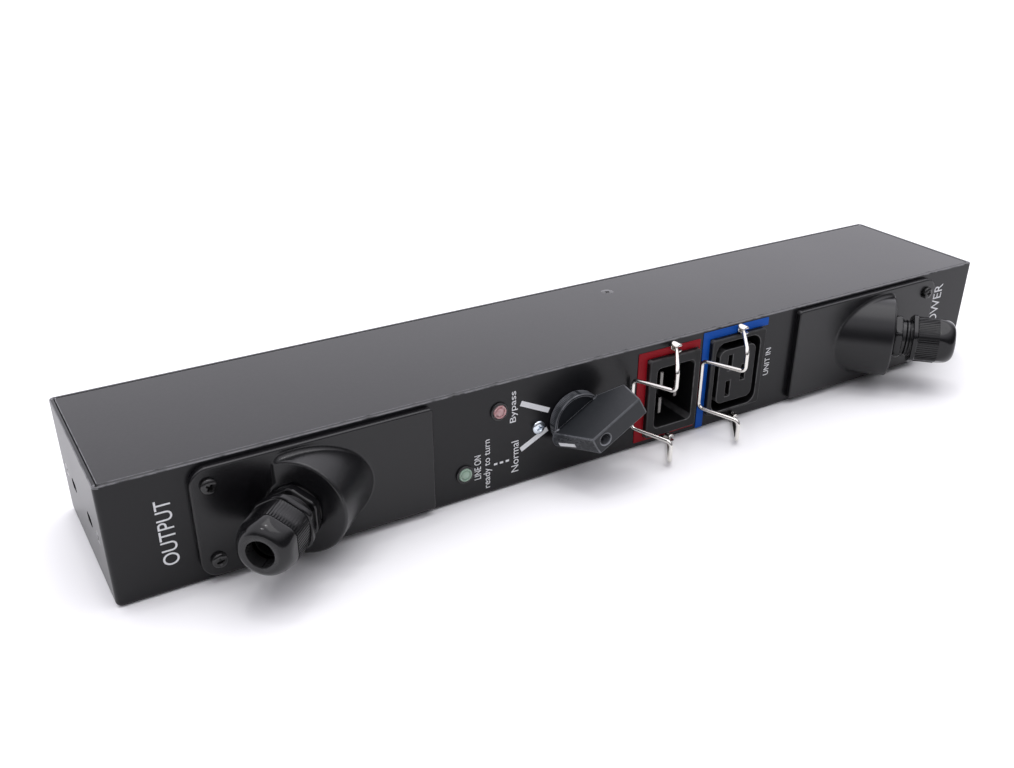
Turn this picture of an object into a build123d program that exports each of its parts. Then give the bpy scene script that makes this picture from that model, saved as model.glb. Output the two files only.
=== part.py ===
from build123d import *
import math
import os

os.makedirs("parts", exist_ok=True)

# Maintenance bypass panel: a long folded steel box with a rotary changeover switch, one inlet and
# one outlet with wire retaining bails, two lamps and two angled cable hoods.
# Frame: +X along the panel, -Y out of the panel, +Z up, origin at the middle of the underside.

# Steel box
LENGTH = 440.0
DEPTH = 76.8
HEIGHT = 49.5
SHEET = 1.5
BEND = 2.0
FRONT = -DEPTH / 2
BACK = DEPTH / 2
INSIDE_FRONT = FRONT + SHEET
LID_GAP = 0.4
LID_TAB_Y = 27.0
LID_TAB_WIDTH = 14.0
LID_TAB_BOTTOM = 17.0
LID_REAR_FLANGE = 8.0
NOTCH_R = 1.0
RIM_R = 0.4
LID_EDGE_R = 0.3
END_ROW_Z = 23.5
END_SLOT_Y = 13.5
END_SLOT_LENGTH = 8.0
END_SLOT_R = 2.2
PILLAR_XY = (30.7, 22.3)
PILLAR_R = 3.5

# Screws: shank radius, head radius
M3_R = 1.5
M3_HEAD_R = 3.0
M3_HEAD = 2.1
COUNTERSINK_R = 2.9
COUNTERSINK_DEPTH = 1.4
CLEARANCE = 0.08

# Cable hood, given for the left one; the right one is its mirror image
HOOD_PLATE_X = (-190.0, -96.0)
HOOD_PLATE_Z = (2.9, 47.9)
HOOD_PLATE_THICKNESS = 3.0
HOOD_OUTER_CORNER_R = 7.0
HOOD_INNER_CORNER_R = 1.5
HOOD_Z = 25.2
HOOD_FACE = Vector(-154.9, FRONT - 8.4, HOOD_Z)
HOOD_OUT = Vector(-1, -1, 0).normalized()
HOOD_R = 19.5
HOOD_BORE_R = 16.5
HOOD_WALL = 3.0
HOOD_BLEND_R = 2.0
HOOD_RIM_R = 1.0
HOOD_PLATE_EDGE_R = 0.8
HOOD_POCKET_R = 11.9
HOOD_SCREW_X = -183.5
HOOD_SCREW_Z = (10.0, 41.0)
HOOD_WINDOW_X = (-170.0, -122.0)
HOOD_WINDOW_HALF = 17.0

# Cable gland, distances measured out along its axis from the hood's face
GLAND_THREAD_R = 8.0
GLAND_BORE_R = 6.6
GLAND_HEX = 20.0
GLAND_WASHER = 1.0
GLAND_HEX_END = 4.8
GLAND_NECK_R = 9.0
GLAND_NECK_END = 14.0
GLAND_INNER_END = -10.0
GLAND_LOCKNUT_HEX = 22.0
GLAND_LOCKNUT = 4.0
GLAND_NUT_START = 9.4
GLAND_NUT_COLLAR_END = 11.8
GLAND_NUT_SHOULDER = 21.8
GLAND_NUT_END = 29.8
GLAND_NUT_HEX = 21.0
GLAND_NUT_R = 11.3
GLAND_COLLAR_R = 12.2
GLAND_MOUTH_R = 5.3
SEAL_R = 6.5
SEAL_HOLE_R = 5.0
CLAMP_SLITS = 8

# Inlet and outlet
INLET_X = 23.6
INLET_Z = 23.7
INLET_FLANGE_X = (9.0, 37.2)
INLET_FLANGE_Z = (4.8, 42.8)
INLET_BODY = (24.4, 33.0)
INLET_CAVITY = (20.8, 29.3)
INLET_CAVITY_DEPTH = 24.0
OUTLET_X = 59.4
OUTLET_Z = 25.2
OUTLET_FLANGE_X = (43.9, 75.6)
OUTLET_FLANGE_Z = (6.8, 44.6)
OUTLET_BODY = (27.8, 35.8)
OUTLET_MOAT = (26.4, 34.4)
OUTLET_CORE = (21.4, 26.8)
OUTLET_MOAT_DEPTH = 20.0
OUTLET_CORE_CORNER_R = 3.4
FLANGE_PROUD = 2.6
SOCKET_DEPTH = 30.0
PIN_SIZE = (2.0, 8.0)
PIN_COLUMN = 4.2
PIN_ROW = 6.5
PIN_TIP_SETBACK = 4.0
SLOT_SIZE = (2.5, 7.8)
SLOT_DEPTH = 16.0
CONTACT_THICKNESS = 1.8
LABEL_THICKNESS = 0.3
RED_LABEL_X = (4.1, 38.2)
RED_LABEL_Z = (3.0, 46.4)
BLUE_LABEL_X = (39.8, 78.3)
BLUE_LABEL_Z = (1.0, 48.5)

# Wire bails and the forked posts that hold them
WIRE_R = 0.9
BAIL_X = (22.5, 60.8)
BAIL_MID_Z = 24.6
BAIL_PIVOT_OUT = 2.6
BAIL_LEG_HALF = 22.2
BAIL_LOOP_HALF = 12.2
BAIL_ELBOW = (-14.2, -18.4)
BAIL_BAR = (-21.8, 0.8)
BAIL_BEND_R = 2.4
POST_R = 2.1
POST_PROUD = 4.8
POST_SLOT_HALF = 1.05
POST_SHANK_R = 1.4
PIVOT_LENGTH = 2.0

# Rotary switch
SWITCH_X = -28.7
SWITCH_Z = 25.5
SWITCH_SCREW_SPREAD = 18.0
SWITCH_BODY = (42.0, 40.0, 44.0)
SWITCH_BODY_GAP = 0.6
SWITCH_BORE_R = 13.0
POINTER_ANGLE = 210.0
DIAL_R = 12.3
DIAL_GAP = 0.4
DIAL_HEIGHT = 5.0
DIAL_RIM = 1.3
DIAL_DISH = 1.0
GRIP_HALF = 4.4
GRIP_OUTLINE = ((12.4, -4.2), (4.9, -23.5), (-21.2, -23.5), (-22.9, -10.4), (-12.0, -4.2))
GRIP_NOSE_FOOT = 15.3
GRIP_NOSE_TOP = 5.1
GRIP_SCREW_R = 2.5
GRIP_SCREW_DEPTH = 12.0
SPINDLE_SIDE = 5.0
PANEL_SPINDLE_HOLE_R = 6.0
CAM_COUNT = 4
CAM_R = SWITCH_BORE_R - CLEARANCE
CAM_THICKNESS = 8.0
CAM_PITCH = 10.5

# Lamps
LAMPS = {"green": (-81.3, 12.9), "red": (-65.2, 37.4)}
LAMP_HOLE_R = 3.1
LAMP_LENS_R = 3.0
LAMP_BEZEL_R = 4.0
LAMP_LENGTH = 12.0
LAMP_BOARD_Y = 13.0

# Inside
TERMINAL_X = 93.0
TERMINAL_Y = 20.0
TERMINAL_SIZE = (42.0, 20.0, 20.0)
TERMINAL_POLES = 3
STUD_X = -125.0
STUD_Y = 20.0
STUD_R = 2.5


def block(x_range, y_range, z_range):
    low = Vector(x_range[0], y_range[0], z_range[0])
    high = Vector(x_range[1], y_range[1], z_range[1])
    middle = (low + high) * 0.5
    size = high - low
    return Pos(middle) * Box(size.X, size.Y, size.Z)


def rod(start, direction, radius, length):
    place = Plane(origin=start, z_dir=direction).location
    return place * Pos(0, 0, length / 2) * Cylinder(radius, length)


def cone(start, direction, start_radius, end_radius, length):
    place = Plane(origin=start, z_dir=direction).location
    return place * Pos(0, 0, length / 2) * Cone(start_radius, end_radius, length)


def rounded_block(x_range, y_range, z_range, radius):
    body = block(x_range, y_range, z_range)
    return fillet(body.edges().filter_by(Axis.Y), radius)


def spread(middle, size):
    return (middle - size / 2, middle + size / 2)


def wider(limits, margin):
    return (limits[0] - margin, limits[1] + margin)


def hexagon(start, direction, across_flats, length, corner=(0, 0, 1)):
    place = Plane(origin=start, x_dir=corner, z_dir=direction)
    outline = RegularPolygon(across_flats / 2, 6, major_radius=False)
    return extrude(place * outline, length)


def turned(points, start, direction):
    """A solid of revolution: (distance along the axis, radius) pairs, closed."""
    outline = make_face(Polyline([(radius, along) for along, radius in points], close=True))
    place = Plane(origin=start, x_dir=(0, 0, 1), z_dir=direction).location
    return place * revolve(Plane.XZ * outline, Axis.Z)


def cross_recess(face, inward, size, depth):
    place = Plane(origin=face, z_dir=inward).location
    arms = Box(size, size / 4, depth) + Box(size / 4, size, depth)
    return place * Pos(0, 0, depth / 2) * arms


def pan_screw(seat, inward, length):
    """Pan-head cross-recess screw whose head rests at seat."""
    out = inward * -1
    head = rod(seat, out, M3_HEAD_R, M3_HEAD)
    head = fillet(head.faces().sort_by(Axis.Y)[0].edges(), M3_HEAD / 2)
    body = head + rod(seat, inward, M3_R, length)
    return body - cross_recess(seat + out * M3_HEAD, inward, 3.2, 1.4)


def flat_screw(face, inward, length):
    """Countersunk screw whose head is flush with face."""
    head = cone(face, inward, COUNTERSINK_R, M3_R, COUNTERSINK_DEPTH)
    body = head + rod(face, inward, M3_R, length)
    return body - cross_recess(face - inward * 0.1, inward, 3.0, 1.1)


def mirrored(shape):
    return mirror(shape, Plane.YZ)


def switch_centre(y):
    return Vector(SWITCH_X, y, SWITCH_Z)


def bail_posts(side_x):
    return [Vector(side_x, FRONT, BAIL_MID_Z + sign * BAIL_LEG_HALF) for sign in (1, -1)]


def make_enclosure():
    outer = block((-LENGTH / 2, LENGTH / 2), (FRONT, BACK), (0, HEIGHT))
    bends = outer.edges().filter_by(Axis.Z) + outer.faces().sort_by(Axis.Z)[0].edges()
    outer = fillet(bends, BEND)
    outer = fillet(outer.faces().sort_by(Axis.Z)[-1].edges(), RIM_R)
    inner_x = LENGTH / 2 - SHEET
    body = outer - block((-inner_x, inner_x), (FRONT + SHEET, BACK - SHEET), (SHEET, HEIGHT + 1))
    cuts = []
    for x_side in (-1, 1):
        for y_side in (-1, 1):
            corner = Vector(x_side * (inner_x - 0.2), y_side * (BACK - SHEET - 0.2), HEIGHT - 3)
            cuts.append(rod(corner, (0, 0, 1), NOTCH_R, 5))
            hole = Vector(x_side * LENGTH / 2, y_side * LID_TAB_Y, END_ROW_Z)
            inward = Vector(-x_side, 0, 0)
            cuts.append(cone(hole, inward, COUNTERSINK_R + CLEARANCE, M3_R + CLEARANCE,
                             COUNTERSINK_DEPTH))
            cuts.append(rod(hole, inward, M3_R + CLEARANCE, SHEET + 1))
            slot_middle = Vector(x_side * LENGTH / 2, y_side * END_SLOT_Y, END_ROW_Z)
            half = END_SLOT_LENGTH / 2 - END_SLOT_R
            across = Vector(x_side * 3, 0, 0)
            for end in (-half, half):
                cuts.append(rod(slot_middle + Vector(0, end, 0) - across, (x_side, 0, 0),
                                END_SLOT_R, 6))
            cuts.append(Pos(slot_middle) * Box(6, 2 * half, 2 * END_SLOT_R))
    through = (FRONT - 1, FRONT + SHEET + 1)
    hood_z = (HOOD_Z - HOOD_WINDOW_HALF, HOOD_Z + HOOD_WINDOW_HALF)
    window = block(HOOD_WINDOW_X, through, hood_z)
    cuts += [window, mirrored(window)]
    out = Vector(0, 1, 0)
    for z in HOOD_SCREW_Z:
        hole = rod((HOOD_SCREW_X, FRONT - 1, z), out, M3_R, SHEET + 2)
        cuts += [hole, mirrored(hole)]
    cuts.append(rod(switch_centre(FRONT - 1), out, PANEL_SPINDLE_HOLE_R, SHEET + 2))
    for side in (-1, 1):
        offset = Vector(side * SWITCH_SCREW_SPREAD, 0, 0)
        cuts.append(rod(switch_centre(FRONT - 1) + offset, out, M3_R + CLEARANCE, SHEET + 2))
    for x, z in LAMPS.values():
        cuts.append(rod((x, FRONT - 1, z), out, LAMP_HOLE_R, SHEET + 2))
    for x, z, size in ((INLET_X, INLET_Z, INLET_BODY), (OUTLET_X, OUTLET_Z, OUTLET_BODY)):
        opening_x = wider(spread(x, size[0]), CLEARANCE)
        opening_z = wider(spread(z, size[1]), CLEARANCE)
        cuts.append(rounded_block(opening_x, through, opening_z, 2.0))
    for side_x in BAIL_X:
        for post in bail_posts(side_x):
            cuts.append(rod(post - out, out, POST_SHANK_R, SHEET + 2))
    return body - cuts


def make_lid():
    half_x = LENGTH / 2 - SHEET - LID_GAP
    half_y = BACK - SHEET - LID_GAP
    plate = block((-half_x, half_x), (-half_y, half_y), (HEIGHT - SHEET, HEIGHT))
    plate = fillet(plate.edges().filter_by(Axis.Z), 1.0)
    plate = fillet(plate.faces().sort_by(Axis.Z)[-1].edges(), LID_EDGE_R)
    top = HEIGHT - SHEET
    plate += block((-half_x + 20, half_x - 20), (half_y - SHEET, half_y), (top - LID_REAR_FLANGE, top))
    for x_side in (-1, 1):
        tab_x = sorted((x_side * half_x, x_side * (half_x - SHEET)))
        for y_side in (-1, 1):
            middle = y_side * LID_TAB_Y
            tab_y = (middle - LID_TAB_WIDTH / 2, middle + LID_TAB_WIDTH / 2)
            plate += block(tab_x, tab_y, (LID_TAB_BOTTOM, top))
            plate -= rod((x_side * (half_x + 1), middle, END_ROW_Z), (-x_side, 0, 0), M3_R, 4)
    seat = Vector(*PILLAR_XY, HEIGHT)
    plate -= cone(seat, (0, 0, -1), COUNTERSINK_R, M3_R, COUNTERSINK_DEPTH)
    return plate - rod(seat, (0, 0, -1), M3_R, SHEET + 1)


def make_pillar():
    body = hexagon((*PILLAR_XY, SHEET), (0, 0, 1), 2 * PILLAR_R, HEIGHT - 2 * SHEET, (1, 0, 0))
    return body - rod((*PILLAR_XY, HEIGHT), (0, 0, -1), M3_R, 14)


def make_hood():
    plate_y = (FRONT - HOOD_PLATE_THICKNESS, FRONT)
    plate = block(HOOD_PLATE_X, plate_y, HOOD_PLATE_Z)
    corners = plate.edges().filter_by(Axis.Y)
    plate = fillet(corners.sort_by(Axis.X)[:2], HOOD_OUTER_CORNER_R)
    corners = plate.edges().filter_by(Axis.Y)
    plate = fillet(corners.sort_by(Axis.X)[-2:], HOOD_INNER_CORNER_R)
    plate = fillet(plate.faces().sort_by(Axis.Y)[0].edges(), HOOD_PLATE_EDGE_R)
    elbow = rod(HOOD_FACE, HOOD_OUT * -1, HOOD_R, 70)
    rim = elbow.edges().sort_by(Axis(HOOD_FACE, HOOD_OUT))[-1]
    elbow = fillet(rim, HOOD_RIM_R)
    keep = block((-200, -80), (FRONT - 60, FRONT - HOOD_PLATE_THICKNESS / 2), (0, HEIGHT))
    body = plate + (elbow & keep)
    joint_y = FRONT - HOOD_PLATE_THICKNESS
    joint = [edge for edge in body.edges()
             if abs(edge.center().Y - joint_y) < 0.01
             and abs(edge.bounding_box().size.Y) < 0.01
             and edge.bounding_box().max.Z < HOOD_Z + HOOD_R + 0.1
             and edge.bounding_box().min.Z > HOOD_Z - HOOD_R - 0.1
             and edge.bounding_box().min.X > HOOD_PLATE_X[0] + 5]
    body = fillet(joint, HOOD_BLEND_R)
    bore = rod(HOOD_FACE - HOOD_OUT * HOOD_WALL, HOOD_OUT * -1, HOOD_BORE_R, 70)
    hole = rod(HOOD_FACE + HOOD_OUT, HOOD_OUT * -1, GLAND_THREAD_R + CLEARANCE, 10)
    pocket = rod(HOOD_FACE, HOOD_OUT, HOOD_POCKET_R, 12)
    body = body - bore - hole - pocket
    for z in HOOD_SCREW_Z:
        body -= rod((HOOD_SCREW_X, FRONT - 10, z), (0, 1, 0), M3_R + CLEARANCE, 12)
    return body


def make_hood_screws():
    seat_y = FRONT - HOOD_PLATE_THICKNESS
    return [pan_screw(Vector(HOOD_SCREW_X, seat_y, z), Vector(0, 1, 0), 9) for z in HOOD_SCREW_Z]


def along(distance):
    return HOOD_FACE + HOOD_OUT * distance


def make_gland():
    """The six pieces of one gland, as a dictionary."""
    hex_length = GLAND_HEX_END - GLAND_WASHER
    body = hexagon(along(GLAND_WASHER), HOOD_OUT, GLAND_HEX, hex_length)
    body += rod(along(GLAND_INNER_END), HOOD_OUT, GLAND_THREAD_R, GLAND_HEX_END - GLAND_INNER_END)
    body += rod(along(GLAND_HEX_END), HOOD_OUT, GLAND_NECK_R, GLAND_NECK_END - GLAND_HEX_END)
    body -= rod(along(GLAND_INNER_END - 1), HOOD_OUT, GLAND_BORE_R, 40)
    washer = rod(HOOD_FACE, HOOD_OUT, 9.8, GLAND_WASHER)
    washer -= rod(along(-1), HOOD_OUT, GLAND_THREAD_R, 4)
    locknut_start = along(-HOOD_WALL - GLAND_LOCKNUT)
    locknut = hexagon(locknut_start, HOOD_OUT, GLAND_LOCKNUT_HEX, GLAND_LOCKNUT)
    locknut -= rod(along(-20), HOOD_OUT, GLAND_THREAD_R, 40)
    seal = turned([(9, SEAL_HOLE_R), (9, SEAL_R), (20.5, SEAL_R), (22.5, SEAL_HOLE_R + 0.4),
                   (22.5, SEAL_HOLE_R)], HOOD_FACE, HOOD_OUT)
    clamp = turned([(GLAND_NECK_END, SEAL_R), (GLAND_NECK_END, 8.6), (16, 8.6), (20.5, 7.3),
                    (20.5, SEAL_R)], HOOD_FACE, HOOD_OUT)
    for index in range(CLAMP_SLITS // 2):
        place = Plane(origin=along(19.5), x_dir=(0, 0, 1), z_dir=HOOD_OUT).location
        clamp -= place * Rot(0, 0, 360 / CLAMP_SLITS * index) * Box(30, 0.8, 6)
    nut = make_dome_nut()
    return {"body": body, "washer": washer, "locknut": locknut, "seal": seal, "clamp": clamp,
            "nut": nut}


def make_dome_nut():
    bore_r = GLAND_NECK_R + CLEARANCE
    dome_length = GLAND_NUT_END - GLAND_NUT_SHOULDER
    mouth_ring = GLAND_MOUTH_R + 1.6
    steps = 8
    dome = []
    for index in range(1, steps + 1):
        turn = math.radians(90 * index / steps)
        dome.append((GLAND_NUT_SHOULDER + dome_length * math.sin(turn),
                     mouth_ring + (GLAND_NUT_R - mouth_ring) * math.cos(turn)))
    inside = [(GLAND_NUT_END, GLAND_MOUTH_R), (24.5, GLAND_MOUTH_R), (23.0, 6.6), (16.5, bore_r),
              (GLAND_NUT_START, bore_r)]
    outline = [(GLAND_NUT_START, GLAND_NUT_R), (GLAND_NUT_SHOULDER, GLAND_NUT_R)] + dome + inside
    nut = turned(outline, HOOD_FACE, HOOD_OUT)
    length = GLAND_NUT_END - GLAND_NUT_START
    nut &= hexagon(along(GLAND_NUT_START), HOOD_OUT, GLAND_NUT_HEX, length)
    collar_length = GLAND_NUT_COLLAR_END - GLAND_NUT_START
    collar = rod(along(GLAND_NUT_START), HOOD_OUT, GLAND_COLLAR_R, collar_length)
    collar -= rod(along(GLAND_NUT_START), HOOD_OUT, bore_r, collar_length)
    return nut + collar


def make_inlet():
    flange_y = (FRONT - FLANGE_PROUD, FRONT)
    body = rounded_block(INLET_FLANGE_X, flange_y, INLET_FLANGE_Z, 1.5)
    body = fillet(body.faces().sort_by(Axis.Y)[0].edges(), 0.6)
    body += rounded_block(spread(INLET_X, INLET_BODY[0]), (FRONT, FRONT + SOCKET_DEPTH),
                          spread(INLET_Z, INLET_BODY[1]), 2.0)
    cavity_y = (FRONT - FLANGE_PROUD - 1, FRONT - FLANGE_PROUD + INLET_CAVITY_DEPTH)
    body -= rounded_block(spread(INLET_X, INLET_CAVITY[0]), cavity_y,
                          spread(INLET_Z, INLET_CAVITY[1]), 2.2)
    for x, z in pole_places(INLET_X, INLET_Z):
        body -= block((x - 1.0, x + 1.0), (FRONT, BACK), (z - 4.0, z + 4.0))
    return body


def pole_places(x, z):
    """Line, neutral and earth positions of a 20 A appliance coupler."""
    return ((x - PIN_COLUMN, z + PIN_ROW), (x - PIN_COLUMN, z - PIN_ROW), (x + PIN_COLUMN, z))


def make_inlet_pin(x, z):
    half_x = PIN_SIZE[0] / 2
    half_z = PIN_SIZE[1] / 2
    y_range = (FRONT - FLANGE_PROUD + PIN_TIP_SETBACK, FRONT + SOCKET_DEPTH + 8)
    pin = block((x - half_x, x + half_x), y_range, (z - half_z, z + half_z))
    return chamfer(pin.faces().sort_by(Axis.Y)[0].edges(), 0.6)


def make_outlet():
    flange_y = (FRONT - FLANGE_PROUD, FRONT)
    body = rounded_block(OUTLET_FLANGE_X, flange_y, OUTLET_FLANGE_Z, 1.5)
    body = fillet(body.faces().sort_by(Axis.Y)[0].edges(), 0.6)
    body += rounded_block(spread(OUTLET_X, OUTLET_BODY[0]), (FRONT, FRONT + SOCKET_DEPTH),
                          spread(OUTLET_Z, OUTLET_BODY[1]), 2.0)
    moat_y = (FRONT - FLANGE_PROUD - 1, FRONT - FLANGE_PROUD + OUTLET_MOAT_DEPTH)
    moat = rounded_block(spread(OUTLET_X, OUTLET_MOAT[0]), moat_y,
                         spread(OUTLET_Z, OUTLET_MOAT[1]), 5.0)
    moat -= rounded_block(spread(OUTLET_X, OUTLET_CORE[0]), moat_y,
                          spread(OUTLET_Z, OUTLET_CORE[1]), OUTLET_CORE_CORNER_R)
    body -= moat
    half_x = SLOT_SIZE[0] / 2
    half_z = SLOT_SIZE[1] / 2
    slot_y = (FRONT - FLANGE_PROUD - 1, FRONT - FLANGE_PROUD + SLOT_DEPTH)
    for x, z in pole_places(OUTLET_X, OUTLET_Z):
        body -= block((x - half_x, x + half_x), slot_y, (z - half_z, z + half_z))
        body -= block((x - 0.9, x + 0.9), (FRONT, BACK), (z - 3.5, z + 3.5))
    return body


def make_outlet_contact(x, z):
    half = CONTACT_THICKNESS / 2
    y_range = (FRONT - FLANGE_PROUD + 6, FRONT + SOCKET_DEPTH + 8)
    return block((x - half, x + half), y_range, (z - 3.5, z + 3.5))


def make_label(label_x, label_z, window_x, window_z):
    """Thin coloured sheet with a window for the flange and holes for the bail posts."""
    ring = rounded_block(label_x, (FRONT - LABEL_THICKNESS, FRONT), label_z, 0.5)
    ring -= block(window_x, (FRONT - 1, FRONT + 1), window_z)
    for side_x in BAIL_X:
        for post in bail_posts(side_x):
            ring -= rod(post - Vector(0, 2, 0), (0, 1, 0), POST_SHANK_R, 4)
    return ring


def make_post(place, towards_middle):
    """Forked post: the wire's leg lies in the slot and its turned end in the inner jaw."""
    post = rod(place - Vector(0, POST_PROUD, 0), (0, 1, 0), POST_R, POST_PROUD - LABEL_THICKNESS)
    post = fillet(post.faces().sort_by(Axis.Y)[0].edges(), 0.8)
    post += rod(place - Vector(0, LABEL_THICKNESS, 0), (0, 1, 0), POST_SHANK_R,
                LABEL_THICKNESS + SHEET)
    front_y = FRONT - POST_PROUD - 1
    slot_back = FRONT - BAIL_PIVOT_OUT + WIRE_R + CLEARANCE
    slot = block((place.X - 4, place.X + 4), (front_y, slot_back),
                 (place.Z - POST_SLOT_HALF, place.Z + POST_SLOT_HALF))
    pivot = Vector(place.X, FRONT - BAIL_PIVOT_OUT, place.Z)
    hole = rod(pivot, (0, 0, towards_middle), WIRE_R + CLEARANCE, 5)
    return post - slot - hole


def make_bail(side_x):
    """One bent wire: pivot end, leg, elbow, arm, bar and the same again below."""
    pivot = Vector(side_x, FRONT - BAIL_PIVOT_OUT, 0)
    elbow = pivot + Vector(*BAIL_ELBOW, 0)
    bar = pivot + Vector(*BAIL_BAR, 0)
    upper = [
        pivot + Vector(0, 0, BAIL_LEG_HALF - PIVOT_LENGTH),
        pivot + Vector(0, 0, BAIL_LEG_HALF),
        elbow + Vector(0, 0, BAIL_LEG_HALF),
        elbow + Vector(0, 0, BAIL_LOOP_HALF),
        bar + Vector(0, 0, BAIL_LOOP_HALF - 0.6),
    ]
    lower = [Vector(point.X, point.Y, -point.Z) for point in reversed(upper)]
    route = [Vector(point.X, point.Y, point.Z + BAIL_MID_Z) for point in upper + lower]
    radii = [1.0] + [BAIL_BEND_R] * (len(route) - 4) + [1.0]
    path = FilletPolyline(*route, radius=radii)
    start = Plane(origin=route[0], z_dir=route[1] - route[0])
    return sweep(start * Circle(WIRE_R), path=path)


def switch_frame():
    """Plane whose local x is the pointer direction and local y points out of the panel."""
    angle = math.radians(POINTER_ANGLE)
    pointer = Vector(math.cos(angle), 0, math.sin(angle))
    return Plane(origin=switch_centre(FRONT), x_dir=pointer, z_dir=pointer.cross(Vector(0, 1, 0)))


def nose_section(shoulder, tip, out):
    """Flat section of the pointer's rounded nose, out millimetres in front of the panel."""
    low = (0, -GRIP_HALF)
    high = (0, GRIP_HALF)
    low_shoulder = (shoulder, -GRIP_HALF)
    high_shoulder = (shoulder, GRIP_HALF)
    sides = [Line(low, low_shoulder), Line(high_shoulder, high), Line(high, low)]
    arc = ThreePointArc(low_shoulder, (tip, 0), high_shoulder)
    frame = switch_frame()
    place = Plane(origin=switch_centre(FRONT - out), x_dir=frame.x_dir, z_dir=(0, -1, 0))
    return place * make_face(sides[0] + arc + sides[1] + sides[2])


def make_handle():
    place = switch_frame()
    grip = extrude(place * make_face(Polyline(*GRIP_OUTLINE, close=True)), GRIP_HALF, both=True)
    foot, top = GRIP_OUTLINE[:2]
    grip += loft([nose_section(foot[0], GRIP_NOSE_FOOT, -foot[1]),
                  nose_section(top[0], GRIP_NOSE_TOP, -top[1])], ruled=True)
    grip = fillet(grip.edges(), 0.7)
    out = Vector(0, -1, 0)
    dial = rod(switch_centre(FRONT - DIAL_GAP), out, DIAL_R, DIAL_HEIGHT - DIAL_GAP)
    dial = fillet(dial.faces().sort_by(Axis.Y)[0].edges(), 0.5)
    dish = rod(switch_centre(FRONT - DIAL_HEIGHT + DIAL_DISH), out, DIAL_R - DIAL_RIM, 3)
    body = dial - dish + grip
    tip = FRONT + GRIP_OUTLINE[1][1]
    body -= rod(switch_centre(tip - 1), (0, 1, 0), GRIP_SCREW_R, GRIP_SCREW_DEPTH + 1)
    body -= rod(switch_centre(tip), (0, 1, 0), M3_R, 17)
    half = SPINDLE_SIDE / 2
    well = Pos(switch_centre(FRONT - 4)) * Rot(0, POINTER_ANGLE, 0) * Box(2 * half, 8, 2 * half)
    return body - well


def make_handle_screw():
    seat = switch_centre(FRONT + GRIP_OUTLINE[1][1] + GRIP_SCREW_DEPTH)
    out = Vector(0, -1, 0)
    head = rod(seat, out, GRIP_SCREW_R - 0.1, 2.0)
    shank = rod(seat, (0, 1, 0), M3_R, 3.4)
    return head + shank - cross_recess(seat + out * 2.1, Vector(0, 1, 0), 2.6, 1.2)


def make_spindle():
    start = FRONT - 7.9
    end = FRONT + SHEET + SWITCH_BODY_GAP + SWITCH_BODY[1] - 4
    middle = switch_centre((start + end) / 2)
    return Pos(middle) * Rot(0, POINTER_ANGLE, 0) * Box(SPINDLE_SIDE, end - start, SPINDLE_SIDE)


def make_cams():
    """Four lobed cams moulded in one stack, on a sleeve around the square spindle."""
    first = INSIDE_FRONT + SWITCH_BODY_GAP
    sleeve_length = CAM_PITCH * (CAM_COUNT - 1) + CAM_THICKNESS
    stack = rod(switch_centre(first + 0.6), (0, 1, 0), 6.0, sleeve_length - 4.6)
    for index in range(CAM_COUNT):
        y = first + 0.6 + index * (CAM_PITCH - 1.6)
        cam = rod(switch_centre(y), (0, 1, 0), CAM_R, CAM_THICKNESS - 2)
        notch = Rot(0, 60 * index, 0) * Pos(0, 0, CAM_R) * Cylinder(4, 200, rotation=(90, 0, 0))
        stack += cam - Pos(switch_centre(0)) * notch
    shaft = Pos(switch_centre(0)) * Rot(0, POINTER_ANGLE, 0) * Box(SPINDLE_SIDE, 200, SPINDLE_SIDE)
    return stack - shaft


def make_switch_body():
    start = INSIDE_FRONT + SWITCH_BODY_GAP
    half_x = SWITCH_BODY[0] / 2
    half_z = SWITCH_BODY[2] / 2
    x_range = (SWITCH_X - half_x, SWITCH_X + half_x)
    z_range = (SWITCH_Z - half_z, SWITCH_Z + half_z)
    body = block(x_range, (start, start + SWITCH_BODY[1]), z_range)
    body = fillet(body.edges().filter_by(Axis.Y), 4.0)
    body -= rod(switch_centre(start - 1), (0, 1, 0), SWITCH_BORE_R, SWITCH_BODY[1] - 2)
    for side in (-1, 1):
        offset = Vector(side * SWITCH_SCREW_SPREAD, 0, 0)
        body += rod(switch_centre(INSIDE_FRONT) + offset, (0, 1, 0), 2.6, SWITCH_BODY_GAP)
        body -= rod(switch_centre(FRONT) + offset, (0, 1, 0), M3_R, 14)
    return body


def make_switch_screw(side):
    seat = switch_centre(FRONT) + Vector(side * SWITCH_SCREW_SPREAD, 0, 0)
    return pan_screw(seat, Vector(0, 1, 0), 10)


def make_lamp_lens(x, z):
    dome_r = 3.6
    dome = Pos(x, FRONT + 1.2, z) * Sphere(dome_r)
    dome &= rod((x, FRONT - 4, z), (0, 1, 0), LAMP_LENS_R - CLEARANCE, 5.2)
    stem = rod((x, FRONT, z), (0, 1, 0), LAMP_LENS_R - CLEARANCE, LAMP_LENGTH - 1)
    return dome + stem


def make_lamp_bezel(x, z):
    ring = rod((x, FRONT - 0.9, z), (0, 1, 0), LAMP_BEZEL_R, 0.9)
    ring = fillet(ring.faces().sort_by(Axis.Y)[0].edges(), 0.4)
    return ring - rod((x, FRONT - 2, z), (0, 1, 0), LAMP_LENS_R, 4)


def make_lamp_board():
    xs = [place[0] for place in LAMPS.values()]
    y = FRONT + LAMP_BOARD_Y
    return block((min(xs) - 7, max(xs) + 7), (y, y + 1.6), (6, 44))


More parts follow.
